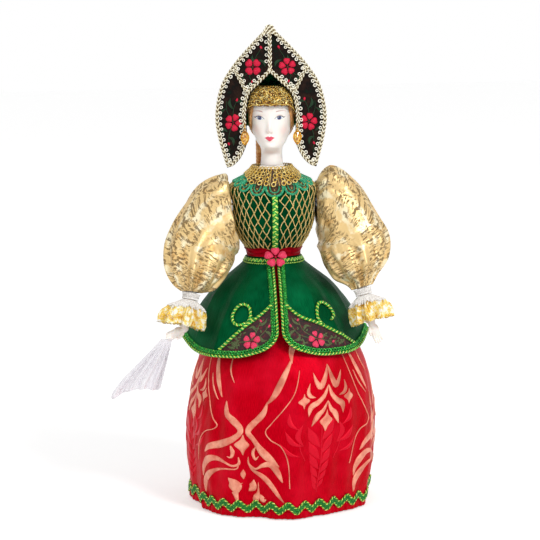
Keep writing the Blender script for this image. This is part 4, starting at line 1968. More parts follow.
def add_collar():
    """Gold knitted ruff: columns of chained loops over brown net, standing round the neck."""
    turn, v = rounds(360, 24)
    low, high = ruff_bottom, NECK_BASE_Z - 4.5
    z = mix(high, low(turn) + 0.2, v)
    outer = on_body(turn, z, COLLAR_OUT - 0.7 + 0.1 * np.cos(COLLAR_COLUMNS * turn))[0]
    mesh = Mesh()
    mesh.add_shell(outer, on_body(turn, z, COLLAR_IN - 0.2)[0], True, arc_closed(outer), look=1)
    rows = 4
    column, row = np.meshgrid(np.arange(COLLAR_COLUMNS), np.arange(rows), indexing="ij")
    column, row = column.ravel(), row.ravel()
    jitter = random.normal(0, 1, (column.size, 4))
    turn = (column + 0.5 * (row % 2) * 0.3 + 0.1 * jitter[:, 0]) / COLLAR_COLUMNS * TAU
    share = (row + 0.5) / rows + 0.02 * jitter[:, 1]
    z = mix(low(turn) - 0.4, high, share)
    at, out = on_body(turn, z, COLLAR_OUT - 0.3 + 0.25 * np.abs(jitter[:, 2]))
    rise = unit(on_body(turn, z + 1, COLLAR_OUT)[0] - on_body(turn, z, COLLAR_OUT)[0])
    side = unit(np.cross(rise, out))
    lean = (0.3 * jitter[:, 3])[:, None]
    side, rise = unit(side + rise * lean), unit(rise - side * lean)
    wide = np.linalg.norm(at[:, :2], axis=1, keepdims=True) * TAU / COLLAR_COLUMNS * 0.36
    tall = ((high - low(turn)) / rows * 0.62)[:, None]
    points, faces = ring_solid(1.0, 0.24, 16, 6)
    tipped = unit(out + rise * 0.25)
    mesh.add_copies(points, faces, np.stack([at, side * wide, rise * tall, tipped * 1.3], 1))
    # Plain chains between the loops, and the twisted neck edge
    t = np.linspace(0, 1, 60)
    for k in range(COLLAR_COLUMNS):
        turn = (k + 0.5) / COLLAR_COLUMNS * TAU + 0 * t
        at, out = on_body(turn, mix(low(turn), high + 1.2, t), COLLAR_OUT - 0.5)
        twisted(mesh, at, out, 0.36, 1.7, looks=(0, 2), sides=5)
    # The net is turned in to the neck
    turn, v = rounds(120, 6)
    rim = on_body(turn, high + 0.2 + 0 * turn, COLLAR_IN)[0]
    neck = turn_head(head_point(turn, NECK_BASE_Z + 0.6 + 0 * turn, 0.15))
    neck[..., 2] = high - 0.8
    lip = mix(rim, neck, v[..., None])
    mesh.add_shell(lip, lip - [0, 0, 0.4], True, arc_closed(lip), look=1)
    ring = np.arange(720) / 720 * TAU
    at, out = on_body(ring, high + 0.3 + 1.1 * np.abs(np.cos(COLLAR_COLUMNS / 2 * ring)), COLLAR_OUT - 0.6)
    twisted(mesh, at, out, 0.5, 1.8, closed=True, looks=(0, 2))
    mesh.build("Collar", [LOOKS["bronze_thread"], LOOKS["brown_net"], LOOKS["net_thread"]],
               instead_of=("collar",), slot="gold_lace")


YOKE_SCALLOPS = 18


def add_yoke():
    """Lace yoke under the collar: deep scallops of teal cord, each holding gold beads, over brown net."""
    turn, v = rounds(540, 14)
    wave = YOKE_SCALLOPS / 2
    z = mix(collar_bottom(turn) + 3.5,
            yoke_bottom(turn) + 1.4 + 4.4 * (1 - np.abs(np.cos(wave * turn)) ** 0.8), v)
    mesh = Mesh()
    outer = on_body(turn, z, YOKE_IN + 0.4)[0]
    mesh.add_shell(outer, on_body(turn, z, YOKE_IN)[0], True, arc_closed(outer), look=2)
    a = np.linspace(0, math.pi, 50)
    beads = []
    for k in range(YOKE_SCALLOPS):
        middle = k / YOKE_SCALLOPS * TAU
        half = TAU / YOKE_SCALLOPS / 2
        for reach, drop, radius in ((0.9, 0.0, 1.05), (0.46, 2.7, 0.6)):
            turn = middle - half * reach * np.cos(a)
            top = collar_bottom(turn) + 2.6
            low = yoke_bottom(middle) + 0.5 + drop
            z = mix(top, low, np.sin(a) ** 0.75)
            at, out = on_body(turn, z, YOKE_IN + 0.4)
            twisted(mesh, at, out, radius, 1.9, looks=(0, 0), lift=0.4)
        for shift, rise in ((-0.7, 4.6), (0.7, 4.6), (0, 2.0), (0, 5.2)):
            beads.append((middle + half * shift, yoke_bottom(middle) + rise))
    for turn, z in beads:
        at, out = on_body(np.array([turn]), np.array([z]), YOKE_IN + 0.5)
        side = unit(np.cross([0, 0, 1], out[0]))
        add_dome(mesh, (at[0], side, np.cross(out[0], side), out[0]), circle(0.75, 12), 1.0, 1, 5)
    mesh.build("Yoke_Lace", [LOOKS["teal_cord"], LOOKS["bronze_thread"], LOOKS["brown_net"]],
               instead_of=("yoke_lace",), slot="gold_lace")


def add_padding(side):
    """Wadding wound round the arm wire."""
    eye_x = SLEEVE_START_X + WIRE_RADIUS + GAP
    top = WRIST - FOREARM * FOREARM_HIDDEN
    line = curve_through([(eye_x, 0, ARM_AXIS_Z - 2.6), (eye_x + 4, -2, ARM_AXIS_Z - 10.6),
                          (mix(eye_x, top[0], 0.68), 0.62 * top[1], mix(ARM_AXIS_Z, top[2], 0.6)),
                          top - FOREARM * 6, top], 200)[34:194]
    turn, v = closed_grid(60, len(line))
    wound = 1 + 0.09 * np.cos(TAU * (2 * turn + 9 * v)) + 0.04 * np.cos(TAU * (5 * turn - 14 * v))
    side_way, up = frames(line, np.broadcast_to([0.0, 1.0, 0.0], line.shape))
    radius = (PADDING_RADIUS - 0.3) * wound * (1 - 0.35 * smooth(np.abs(v - 0.5), 0.42, 0.5))
    ring = side_way[:, None] * np.cos(TAU * turn)[..., None] + up[:, None] * np.sin(TAU * turn)[..., None]
    mesh = Mesh()
    mesh.add_shell(line[:, None] + ring * radius[..., None], line[:, None] + ring * 2.3, True)
    pad = mesh.build_side(side, "Arm_Padding", LOOKS["wadding"], "wadding", "arm")


def carry_over():
    """Better materials for the CAD solids that keep their shape."""
    for name, look in (("headdress_board", "dark_velvet"), ("base_disc", "wood"), ("card_cone", "card"),
                       ("support_post", "wood"), ("torso_core", "wadding"), ("shoulder_wire", "steel"),
                       ("left_arm_wire", "steel"), ("right_arm_wire", "steel"),
                       ("left_ear_ring", "gold_metal"), ("right_ear_ring", "gold_metal")):
        obj = bpy.data.objects[name]
        for slot in obj.material_slots:
            slot.material = LOOKS[look]


# Figures woven or stitched on a surface, drawn as strokes of changing width
def stroke_line(points, widths, count):
    """Middle line and width of a stroke through a few points, evenly spread."""
    points = np.array(points, float)
    flat = np.column_stack([points, np.zeros(len(points))])
    line = curve_through(flat, count)[:, :2] if len(points) > 2 else even(points, count)
    wide = through(list(zip(np.linspace(0, 1, len(widths)), widths)))(np.linspace(0, 1, count))
    return line, np.maximum(wide, 0.02)


def add_stroke(mesh, surface, points, widths, height=0.3, sunk=0.15, look=0, fine=1.0):
    """A low raised stroke. surface(x, y, lift) puts flat places on the cloth."""
    points = np.array(points, float)
    count = max(6, int(length_of(points) / fine) + 2)
    line, wide = stroke_line(points, widths, count)
    tangent = unit(np.gradient(line, axis=0))
    aside = np.stack([-tangent[:, 1], tangent[:, 0]], -1)
    across = np.array([-1, -0.86, -0.4, 0, 0.4, 0.86, 1]) / 2
    rise = np.array([0.0, 0.75, 1, 1, 1, 0.75, 0.0])
    flat = line[:, None] + aside[:, None] * (wide[:, None] * across)[..., None]
    ends = np.minimum(1, np.minimum(np.arange(count), np.arange(count)[::-1]) / 1.0)[:, None]
    top = surface(flat[..., 0], flat[..., 1], height * rise * ends)
    under = surface(flat[..., 0], flat[..., 1], -sunk + 0 * flat[..., 0])
    run = np.arange(count) * fine
    mesh.add_shell(top, under, False, (across * 4, run), look)
    return mesh


def both_sides(strokes):
    """Strokes drawn on the left of an axis, with their mirror images."""
    return [(points, widths) for points, widths in strokes] + [
        ([(-x, y) for x, y in points], widths) for points, widths in strokes]


# The brocade: a palmette and a scrolled figure, in units of about a millimetre, drawn from their feet up.
# Each stroke is a line and its widths along the way.
PALMETTE = both_sides([
    ([(0, 49), (-2.6, 40), (-5.6, 33.5), (-6.6, 32.5), (-7.6, 33.5), (-10, 37.5), (-12.2, 43.5)],
     (0.3, 2.2, 3.6, 4.4, 3.6, 2.2, 0.2)),
    ([(-14.4, 36), (-15.4, 30), (-13.6, 26.4), (-9.4, 25)], (0.2, 2.2, 2.8, 0.3)),
    ([(-18.4, 28.8), (-18, 23), (-17.6, 17.2)], (0.1, 2.2, 8.8, 2.2, 0.1)),
    ([(0, 34), (-3, 26.5), (-7.6, 21.5), (-12.4, 18), (-13.4, 11)], (0.5, 2.8, 3.6, 4.2, 0.2)),
    ([(0, 22), (-3.1, 15.4), (-6.6, 11.8), (-10.4, 3.5)], (0.5, 2.8, 3.8, 0.3)),
]) + [([(0, 15.4), (0, 6.5), (0, -1.5)], (0.1, 3, 10.4, 4, 0.1))]
SCROLL_LEFT = [
    ([(-11.5, 82), (-10.2, 73), (-5.8, 67.6), (-2.4, 63.4), (-1.5, 59.4), (-4, 55.4), (-8.5, 51.6),
      (-15, 47.9), (-22.6, 44.7), (-27.6, 39)], (0.5, 3.4, 4.4, 4.2, 3.2, 4.2, 5.4, 5.4, 4, 0.4)),
    ([(-6.9, 48.4), (-5.8, 43.1), (-6.9, 38.9), (-9.4, 39.6)], (0.5, 2.3, 1.9, 0.3)),
    ([(-2.5, 39.9), (-2.3, 34.4), (-6, 32.4), (-12.4, 35.1), (-20, 36.2), (-25.5, 33), (-29.5, 26),
      (-30.5, 19)],
     (0.5, 1.9, 1.5, 3.2, 5, 5.6, 3.6, 0.6)),
    ([(-2.3, 36), (-3.6, 30.3), (-10.5, 29.4), (-18, 27), (-24.5, 21.6), (-29, 14.4), (-30, 6)],
     (0.3, 1.1, 1.5, 3.2, 5.6, 4, 0.8)),
    ([(-31, 124), (-32, 114), (-30.5, 101), (-26, 84), (-20, 68), (-16.8, 62.4), (-19.5, 59), (-27, 55.4),
      (-33, 46.2), (-36.5, 30)], (0.6, 0.6, 0.7, 0.6)),
    ([(-23.6, 118), (-22.6, 109), (-20, 98), (-15.2, 84)], (0.5, 3.4, 3.2, 0.4)),
    ([(-26, 101), (-23.5, 92), (-17.5, 82)], (0.3, 1.1, 0.3)),
    ([(-11, 116), (-11, 105), (-7, 96)], (0.3, 1.1, 0.2)),
    ([(-9, 22.5), (-5.4, 17.8), (-4.2, 9)], (0.5, 8, 0.6)),
    ([(-0.6, 19), (-4.6, 16.4)], (0.2, 2.4)),
    ([(-5.4, 12), (-3, 2.5)], (4.6, 0.5)),
]
SCROLL_RIGHT = [
    ([(20.5, 83), (17.6, 75), (11.6, 68.7), (5.8, 63.4), (4, 59.1), (8.4, 53.8), (15, 46.3), (22, 39.9),
      (31, 33)],
     (1, 4.6, 5.2, 5.2, 4, 5, 6.6, 5.6, 1.4)),
    ([(10.7, 48.4), (8, 43.1), (10.2, 38.3), (13.5, 41)], (0.6, 2.8, 2.4, 0.3)),
    ([(4, 39.9), (4.6, 34.1), (10, 30.6), (17, 33.8), (23.5, 34.8), (29, 30), (34, 21)],
     (0.5, 1.8, 1.7, 4, 5.6, 4.6, 1)),
    ([(3.4, 37.8), (7, 30), (17, 25), (25, 17.6), (32, 9), (35.5, 4.8)], (0.6, 2.2, 3.8, 4.6, 3.2, 0.8)),
    ([(50, 106), (44, 90), (35, 78.5), (24, 66.5), (19.5, 60.5), (24, 54), (32.5, 49), (38, 37), (40, 16)],
     (0.7, 0.8, 0.9, 0.7)),
    ([(43, 113), (35.4, 102), (26.4, 88), (19.4, 81)], (2, 5, 5.4, 1)),
    ([(8.5, 22), (7.4, 16), (3.5, 12.5)], (0.4, 7.5, 0.6)),
    ([(13, 20), (12.4, 11), (10, 5.6), (13.6, 0.5)], (0.4, 2.4, 6.5, 1.6)),
    ([(13.6, 10), (17.5, 5.5), (20, 6.5)], (2, 5, 0.4)),
]
SCROLL_HEART = [([(0, 57.5), (0, 49.5), (0, 41)], (0.1, 3.4, 10, 3.4, 0.1)),
                ([(0, 30), (0, 26), (0, 22)], (0.3, 3.4, 0.2))]
SCROLL = SCROLL_LEFT + SCROLL_RIGHT + SCROLL_HEART


def leaf_spray():
    """Pairs of leaves up a stem, larger as they go, with looser leaves either side."""
    strokes = [([(0, -14), (0.6, 12), (0, 38)], (0.7, 0.9, 0.6))]
    foot = -12.0
    for i in range(6):
        size = 0.45 + 0.13 * i
        for way, later in ((-1, 0), (1, 4.5 * size)):
            y = foot + later
            strokes.append(([(0.3 * way, y), (4.2 * size * way, y + 5.5 * size),
                             (8.6 * size * way, y + 15 * size)],
                            (0.3, 5.6 * size, 0.2)))
        foot += 9.5 * size
    loose = [([(-12, 24), (-16, 32), (-13, 41)], (0.3, 3.4, 0.2)),
             ([(-12, 24), (-19, 27), (-24, 36)], (0.3, 3.4, 0.2)),
             ([(-14, 16), (-21, 19), (-27, 27)], (0.3, 2.8, 0.2)),
             ([(-16, 37), (-21, 42), (-22, 50)], (0.3, 3.2, 0.2)),
             ([(-10, 12), (-14, 22), (-16, 38)], (0.6, 0.7, 0.5))]
    return strokes + both_sides(loose)


LEAF_SPRAY = leaf_spray()
SCROLL_TURNS = (-28.6, 75, -136)
PALMETTE_TURNS = (22.8, 134, -82)
FIGURE_HEIGHT = 1.06
FIGURE_FOOT = 9.5
SCROLL_TALL = 128
SKIRT_TO_RADIANS = 72  # millimetres of skirt to a radian of turn


def add_damask():
    figures, tones = Mesh(), Mesh()

    def place(turn_0, z_0, left, right, lean=0.0):
        """left and right are how many millimetres a unit of width is worth on each side of the axis."""
        def surface(x, y, lift):
            z = z_0 + y * FIGURE_HEIGHT
            turn = math.radians(turn_0) + (np.where(x < 0, left, right) * x + lean * y) / SKIRT_TO_RADIANS
            return skirt_point(turn, z, CLOTH / 2 + SKIRT_CREASE * skirt_creases(turn, z) + lift)
        return surface

    def weave_in(mesh, surface, strokes, foot, top, height):
        for points, widths in strokes:
            if min(y for x, y in points) >= foot and max(y for x, y in points) <= top:
                add_stroke(mesh, surface, points, widths, height, fine=1.0)

    for turn in SCROLL_TURNS:
        left, right = (1.38, 0.92) if turn == SCROLL_TURNS[0] else (1.15, 1.15)
        weave_in(figures, place(turn, FIGURE_FOOT, left, right), SCROLL, 0, 200, 0.6)
        weave_in(figures, place(turn, FIGURE_FOOT + SCROLL_TALL * FIGURE_HEIGHT, left, right), PALMETTE,
                 -10, 42, 0.4)
    for turn in PALMETTE_TURNS:
        weave_in(figures, place(turn, 73, 1.16, 1.12, 0.17), PALMETTE, -10, 200, 0.4)
        weave_in(figures, place(turn + 9, 121, 1.2, 1.2), SCROLL_LEFT[2:4], 3, 42, 0.4)
        weave_in(tones, place(turn - 4, 36, 1.2, 1.2, 0.05), LEAF_SPRAY, -20, 200, 0.34)
    figures.build("Skirt_Damask", LOOKS["damask"], slot="red_brocade")
    tones.build("Skirt_Damask_Leaves", LOOKS["damask_tone"], slot="red_brocade")


def petal(length, width):
    """Outline of a bud or leaf about its own middle, broadest towards its tip, which is along +Y."""
    t = np.arange(28) / 28 * TAU
    return np.stack([0.5 * width * np.sin(t) * (1 - 0.3 * np.cos(t)), -0.5 * length * np.cos(t)], -1)


def wedge_petal(radius, petals):
    """Outline of one of a flower's petals about its own middle: it fills its share but for a narrow gap."""
    a = np.linspace(-0.985, 0.985, 25) * math.pi / petals
    reach = radius * np.cos(a * petals / 2) ** 0.2 * (1 - 0.07 * bump(a, 0, 0.16))
    outer = np.stack([reach * np.sin(a), reach * np.cos(a)], -1)[::-1]
    return 0.97 * (np.concatenate([outer, [(0, 0.12 * radius)]]) - [0, 0.58 * radius])


def add_flower(mesh, place, radius, petals, look=0, heart=1, turn=0.0, height=1.1):
    """Satin-stitch flower with padded petals. place is (origin, x axis, y axis, out)."""
    origin, across, up, out = (np.array(p, float) for p in place)
    radius = 1.07 * radius
    outline = wedge_petal(radius, petals)
    for k in range(petals):
        angle = turn + k * TAU / petals
        x = across * math.cos(angle) + up * math.sin(angle)
        y = up * math.cos(angle) - across * math.sin(angle)
        add_dome(mesh, (origin + y * 0.6 * radius, x, y, out), outline, height, look, 6, power=2.6)
    add_dome(mesh, (origin, across, up, out), circle(0.09 * radius, 12), height * 0.5, heart, 4)


def add_bud(mesh, place, size, look=0):
    origin, across, up, out = (np.array(p, float) for p in place)
    add_dome(mesh, (origin, across, up, out), petal(size, size * 0.62), 0.8, look, 5)


def panel_place(x, z, side=1, angle=0.0):
    origin = on_panel((x, z), 0.05, side)
    across = unit(on_panel((x + 1, z), 0.05, side) - origin)
    out = unit(panel_out(side))
    up = unit(on_panel((x, z + 1), 0.05, side) - origin)
    x_axis = across * math.cos(angle) + up * math.sin(angle)
    return origin, x_axis, np.cross(out, x_axis), out


def add_headdress_embroidery():
    """Crimson satin-stitch flowers and buds with green stems on the dark panels."""
    flowers, leaves = Mesh(), Mesh()
    for side in (1, -1):
        petals = 5 if side > 0 else 4
        add_flower(flowers, panel_place(14.2, 67.6, side), 6.9, petals, turn=0.1 if side > 0 else math.pi / 4)
        add_flower(flowers, panel_place(31.4, 22.4, side), 6.9, 5, turn=-0.2 * side)
        for x, z, angle in ((7.2, 83.5, 0.5), (28.0, 41.0, -0.3), (15.0, 55.6, 2.6), (35.5, 5.0, 3.4)):
            add_bud(flowers, panel_place(x, z, side, angle * side), 2.9)
        stems = [
            ([(14.2, 67.6), (11.5, 75.5), (7.4, 82)], (0.7, 0.7, 0.5)),
            ([(14.2, 67.6), (17, 60), (15.4, 56.5)], (0.7, 0.7, 0.5)),
            ([(14.2, 67.6), (21, 61), (24.5, 62.5)], (0.7, 0.7, 0.4)),
            ([(31.4, 22.4), (31.2, 32.5), (28.4, 40)], (0.7, 0.7, 0.5)),
            ([(31.4, 22.4), (35, 13), (35.4, 6)], (0.7, 0.7, 0.5)),
            ([(31.4, 22.4), (36.5, 32), (36.8, 40)], (0.7, 0.7, 0.4)),
            ([(11.5, 70.5), (14.6, 74), (14.2, 77.5)], (0.4, 2.6, 0.2)),
            ([(9.5, 73.4), (5.2, 71.5), (3.6, 67.5)], (0.4, 2.4, 0.2)),
            ([(13, 55), (17.4, 53.4), (19.6, 50)], (0.4, 2.6, 0.2)),
            ([(22, 60), (23.6, 55.5), (22.6, 51.6)], (0.4, 2.4, 0.2)),
            ([(31.5, 33.5), (34.4, 37.8), (33.4, 42.5)], (0.4, 2.6, 0.2)),
            ([(37.5, 34), (41.4, 31), (42.0, 26.5)], (0.4, 2.4, 0.2)),
            ([(36.5, 15), (40, 17), (41, 13)], (0.4, 2.4, 0.2)),
            ([(35.8, 10.5), (32, 8.5), (31.4, 3.5)], (0.4, 2.6, 0.2)),
            ([(28.8, 39), (24.8, 39.5), (24.4, 35)], (0.4, 2.2, 0.2)),
            ([(36.4, 7), (34.8, 0.5), (35.6, -4.5)], (0.6, 0.6, 0.3)),
        ]
        for points, widths in stems:
            add_stroke(leaves, lambda x, z, lift: on_panel(np.stack([x, z], -1), lift, side), points,
                       widths, 0.35, 0.1, fine=0.5)
    flowers.build("Headdress_Flowers", [LOOKS["crimson_floss"], LOOKS["dark_floss"]], slot="floss")
    leaves.build("Headdress_Leaves", LOOKS["green_floss"], slot="floss")


def stirred(turn, z):
    """A place on the bodice, moved a little as the net's knots are."""
    return turn + 0.022 * noise1(9 * turn + z / 7, 0.7), z + 1.0 * noise1(8 * turn - z / 9, 1.9)


NET_DIAMONDS = 34
NET_ROWS = 4.5
NET_STEPS = 150


def add_net():
    """Pale gold net over the bodice, in tall diamonds knotted where its cords cross."""
    mesh = Mesh()
    t = np.linspace(0, 1, NET_STEPS)
    for way in (1, -1):
        for i in range(NET_DIAMONDS):
            turn = (i + 0.5 + way * NET_ROWS * t) / NET_DIAMONDS * TAU
            low, high = WAIST_Z + 4, yoke_bottom(turn) + 2.5
            z = mix(low, high, t)
            at, out = on_body(*stirred(turn, z), CLOTH / 2 + 0.1)
            shown = (np.abs(at[:, 0]) > 3.8) | (at[:, 1] > 0)
            shown &= np.hypot(at[:, 1], at[:, 2] - ARM_AXIS_Z) > 11
            edges = np.flatnonzero(np.diff(np.concatenate([[False], shown, [False]]).astype(int)))
            for first, last in zip(edges[::2], edges[1::2]):
                if last - first > 4:
                    mesh.add_sweep(at[first:last] + out[first:last] * 0.3, out[first:last],
                                   circle(0.4, 7, 0.8))
    ring = circle(0.72, 10)
    for i in range(NET_DIAMONDS):
        for k in range(int(2 * NET_ROWS) + 1):
            turn = (i + 0.5 + k / 2) / NET_DIAMONDS * TAU
            share = k / 2 / NET_ROWS
            z = mix(WAIST_Z + 4, float(yoke_bottom(turn)) + 2.5, share)
            at, out = on_body(*stirred(np.array([turn]), np.array([z])), CLOTH / 2)
            at, out = at[0], out[0]
            if (abs(at[0]) > 4.4 or at[1] > 0) and math.hypot(at[1], z - ARM_AXIS_Z) > 12:
                side = unit(np.cross([0, 0, 1], out))
                add_dome(mesh, (at, side * 0.8, np.cross(out, side) * 1.3, out), ring, 1.2, 0, 4)
    mesh.build("Bodice_Net", LOOKS["net_thread"], slot="gold_lace")


def add_front_braid():
    """Green tinsel braid down the front of the bodice."""
    z = np.linspace(WAIST_Z + BELT_HEIGHT + 1.5, float(yoke_bottom(0.0)) + 0.6, 160)
    at, out = on_body(0 * z, z, CLOTH / 2 + 0.2)
    mesh = Mesh()
    plaited(mesh, at, out, 5.2, 1.8, 4.6, 1.0, looks=(0, 1, 0), sides=7)
    mesh.build("Front_Braid", [LOOKS["green_tinsel"], LOOKS["lime_tinsel"]], instead_of=("front_braid",),
               slot="green_braid")


BELT_IN = CLOTH / 2 + 3 * GAP


def add_belt():
    """Crimson satin ribbon folded to a shallow V in front."""
    turn, v = rounds(420, 26)
    near = np.abs(np.arctan2(np.sin(turn), np.cos(turn)))
    dip = 2.4 * bump(near, 0, 0.16) - 1.0 * bump(near, 0.45, 0.2)
    z = mix(WAIST_Z + 4 * GAP + 0.4, WAIST_Z + BELT_HEIGHT + 0.4 - dip, v)
    pleats = (0.45 * np.sin(9 * v + 4 * np.sin(near * 2.2)) * smooth(near, 0.05, 0.5)
              + 0.5 * bump(v, 0.55, 0.2))
    outer = on_body(turn, z, BELT_IN + 0.6 * CLOTH + pleats * 0.6)[0]
    mesh = Mesh()
    mesh.add_shell(outer, on_body(turn, z, BELT_IN)[0], True, arc_closed(outer))
    mesh.build("Belt_Ribbon", LOOKS["red_ribbon"], instead_of=("belt_ribbon",), slot="red_ribbon")


def add_belt_flower():
    mesh = Mesh()
    tilt = math.radians(38)
    out = np.array([0, -math.cos(tilt), math.sin(tilt)])
    across = np.array([1.0, 0, 0])
    middle = np.array([0, -(WAIST_HALF_DEPTH + 7.5), WAIST_Z + 2.4])
    add_flower(mesh, (middle, across, np.cross(out, across), out), 9.2, 5, height=2.0)
    mesh.build("Belt_Flower", [LOOKS["pink_floss"], LOOKS["crimson_floss"]], instead_of=("belt_flower",),
               slot="floss")


def add_waist_braid():
    """A flat green and lime plait below the belt, with a thin cord under it."""
    steps = 900
    turn = np.arange(steps) / steps * TAU
    mesh = Mesh()
    at, out = on_peplum(turn, np.full(steps, 0.02), 0.0)
    plaited(mesh, at, out, 3.4, 1.1, 3.4, 0.55, closed=True, looks=(0, 1, 0))
    at, out = on_peplum(turn, np.full(steps, 0.055), 0.0)
    twisted(mesh, at, out, 0.6, 1.9, closed=True, looks=(0, 1), lift=0.3)
    mesh.build("Waist_Braid", [LOOKS["green_tinsel"], LOOKS["lime_tinsel"]], instead_of=("waist_braid",),
               slot="green_braid")


def crochet(mesh, at, out, radius, pitch, look):
    """A row of plump loops lying over each other, along a line."""
    at, out, _ = even_path(at, out, pitch)
    side, up = frames(at, out)
    ahead = np.cross(up, side)
    points, faces = ring_solid(0.62 * radius, 0.38 * radius, 9, 6)
    places = np.stack([at + up * radius * 0.35, side, unit(ahead + up * 0.4) * 0.85,
                       unit(np.cross(side, unit(ahead + up * 0.4))) * 1.15], 1)
    mesh.add_copies(points, faces, places, look)


def add_peplum_braids():
    """A green and lime cord at each half's edge, and within it green crochet between small lime rings."""
    mesh = Mesh()
    at, out = peplum_edge(0.2, 0.075)
    twisted(mesh, at, out, 1.35, 3.2, looks=(0, 1), lift=0.8, sides=7, second=0.75)
    at, out = peplum_edge(3.0, 0.085)
    crochet(mesh, at, out, 2.1, 2.5, 0)
    at, out, _ = even_path(at, out, 5.0)
    side = frames(at, out)[0]
    points, faces = ring_solid(0.34, 0.26, 8, 5)
    for aside, shift in ((1.2, 0), (-1.2, 1)):
        spots = at[shift::2] + side[shift::2] * aside + out[shift::2] * 1.3
        mesh.add_copies(points, faces, np.stack([spots, side[shift::2], np.cross(out, side)[shift::2],
                                                 out[shift::2]], 1), 1)
    looks = [LOOKS["green_tinsel"], LOOKS["lime_tinsel"]]
    for half in SIDES:
        mesh.build_side(half, "Peplum_Braid", looks, "green_braid")


INSET_CORDS = {
    "left": ([(0.085, 0.5), (0.18, 0.57), (0.3, 0.63), (0.45, 0.665), (0.6, 0.72), (0.77, 0.8), (0.9, 0.87),
              (1.02, 0.935)],
             [(0.6, 0.72), (0.53, 0.66), (0.535, 0.575), (0.595, 0.5), (0.685, 0.475), (0.775, 0.505),
              (0.815, 0.575), (0.785, 0.63), (0.735, 0.655)]),
    "right": ([(0.085, 0.5), (0.25, 0.6), (0.4, 0.68), (0.5, 0.745), (0.62, 0.84), (0.72, 0.93)],
              [(0.5, 0.745), (0.42, 0.68), (0.385, 0.59), (0.43, 0.5), (0.52, 0.475), (0.61, 0.5),
               (0.655, 0.58), (0.61, 0.655), (0.52, 0.685), (0.42, 0.66), (0.34, 0.62)]),
}
ACROSS, DOWN = 60, 70  # millimetres to a radian of turn and to the peplum's whole drop, for drawing on it
INSET_EDGE = 4.4
SMALL_LEAVES = 46


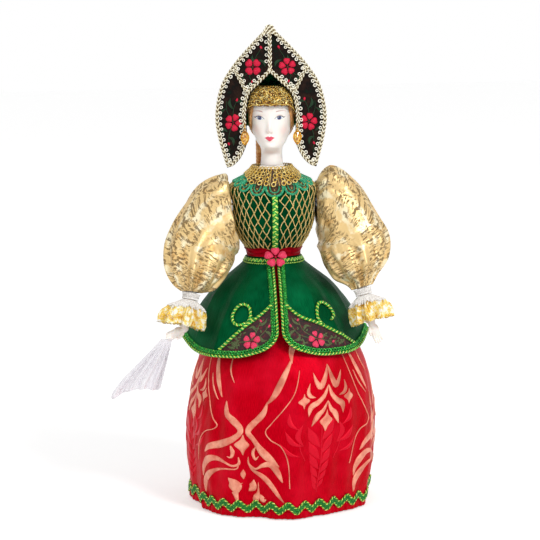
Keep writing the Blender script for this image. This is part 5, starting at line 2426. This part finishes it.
def add_insets():
    """The dark embroidered corners, the cord above each, and the loop that a cord makes over it."""
    for side, name in ((1, "left"), (-1, "right")):
        main, curl = (curve_through([(turn * ACROSS, share * DOWN, 0) for turn, share in line], 260)
                      / [ACROSS, DOWN, 1]
                      for line in INSET_CORDS[name])
        cloth = Mesh()
        u, v = grid(90, 46)
        start = peplum_edge_turn(0.75, INSET_EDGE)
        turn = mix(start, main[-1, 0], u)
        upper = np.interp(turn, main[:, 0], main[:, 1]) + 0.004
        hem = peplum_half(INSET_EDGE)(np.linspace(0, 1, 400), np.ones(400))
        hem_turn, hem_share = to_peplum(hem)
        order = np.argsort(hem_turn)
        lower = np.interp(turn, hem_turn[order], hem_share[order])
        share = mix(upper, np.maximum(lower, upper + 0.004), v)
        top = on_peplum_cloth(turn, share, 0.5)[0]
        cloth.add_shell(top, on_peplum_cloth(turn, share, 0.1)[0], False, arc(top))
        cloth.build_side(name, "Corner_Inset", LOOKS["maroon_cloth"], "dark_cloth")
        cord = Mesh()
        for line in (main, curl):
            at, out = on_peplum_cloth(line[:, 0], line[:, 1], 0.3)
            twisted(cord, at, out, 1.6, 3.2, looks=(0, 1), lift=1.0, sides=7, second=0.75)
        cord.build_side(name, "Inset_Braid", [LOOKS["green_tinsel"], LOOKS["lime_tinsel"]], "green_braid")

        # Embroidery
        flowers, stems = Mesh(), Mesh()

        def on_corner(x, y, lift):
            return on_peplum_cloth(np.asarray(x) / ACROSS, np.asarray(y) / DOWN, 0.5 + np.asarray(lift))[0]

        def corner_place(turn, share, angle=0.0):
            at, out = on_peplum_cloth(turn, share, 0.5)
            across = unit(on_peplum_cloth(turn + 0.01, share, 0.5)[0] - at)
            up = np.cross(out, across)
            x_axis = across * math.cos(angle) + up * math.sin(angle)
            return at, x_axis, np.cross(out, x_axis), out

        middle = (0.44, 0.845) if side > 0 else (0.335, 0.855)
        add_flower(flowers, corner_place(*middle), 7.2, 5, turn=0.3, height=1.0)
        for turn_0, share_0, angle in ((0.13, 0.74, 0.6), (0.24, 0.66, -0.5), (0.66, 0.875, -1.2)):
            add_bud(flowers, corner_place(turn_0, share_0, angle), 3.0)
        m = (middle[0] * ACROSS, middle[1] * DOWN)
        for points, widths in [
            ([m, (17, 54), (14.6, 47)], (0.6, 0.6, 0.5)), ([m, (14, 58), (8.5, 52.5)], (0.6, 0.6, 0.5)),
            ([m, (32, 60), (39, 61)], (0.6, 0.6, 0.5)), ([(17, 54), (20, 50), (24, 50.5)], (0.3, 2.0, 0.2)),
            ([(14, 58), (12, 62), (8.5, 62.5)], (0.3, 2.2, 0.2)),
            ([(11, 54.5), (7.4, 57.5), (6.4, 61)], (0.3, 2.0, 0.2)),
            ([(15.6, 50), (11.4, 48.4), (9.4, 45)], (0.3, 2.0, 0.2)),
            ([(30, 60), (33, 56.5), (36, 58)], (0.3, 1.8, 0.2)),
            ([(10, 53), (6.8, 50), (7, 46)], (0.3, 1.8, 0.2)),
            ([(14.6, 47), (16.6, 43), (14, 40.5)], (0.5, 1.6, 0.2)),
            ([(15, 60), (16, 64), (13, 66)], (0.3, 1.8, 0.2)),
            ([(31, 61), (34, 63.5), (38, 62.5)], (0.3, 1.8, 0.2)),
        ]:
            add_stroke(stems, on_corner, points, widths, 0.3, 0.2, fine=0.5)
        across_0, across_1 = start + 0.1, main[-1, 0] - 0.14
        for _ in range(SMALL_LEAVES):
            leaf_turn, down, lean = random.uniform(across_0,
                                                   across_1), random.uniform(0.1, 0.9), random.uniform(0, TAU)
            leaf_top = float(np.interp(leaf_turn, main[:, 0], main[:, 1])) + 0.035
            leaf_low = float(np.interp(leaf_turn, hem_turn[order], hem_share[order])) - 0.02
            spot = np.array([leaf_turn * ACROSS, mix(leaf_top, leaf_low, down) * DOWN])
            if math.dist(spot, m) > 8.5 and leaf_low - leaf_top > 0.05:
                tip = np.array([math.cos(lean), math.sin(lean)])
                add_stroke(stems, on_corner, [spot - 1.3 * tip, spot + [0.3, 0.2], spot + 1.3 * tip],
                           (0.2, 1.3, 0.2), 0.3, 0.2, fine=0.5)
        flowers.build_side(name, "Corner_Flowers", [LOOKS["pink_floss"], LOOKS["dark_floss"]], "floss",
                           replaces=False)
        stems.build_side(name, "Corner_Leaves", LOOKS["sage_floss"], "floss", replaces=False)


add_camera()
add_stage()
make_looks()
add_skirt()
add_hem_trim()
add_peplum()
add_bodice()
for side in SIDES:
    add_sleeve(side)
    add_cuff(side)
    add_hand(side)
    add_padding(side)
    add_earring(side)
cloth, cloth_points = add_handkerchief()
add_head()
add_hair()
add_cap()
add_headdress_braids()
add_hood()
add_plait()
add_collar()
add_yoke()
add_net()
add_front_braid()
add_belt()
add_waist_braid()
add_belt_flower()
add_peplum_braids()
add_insets()
add_damask()
add_headdress_embroidery()
carry_over()
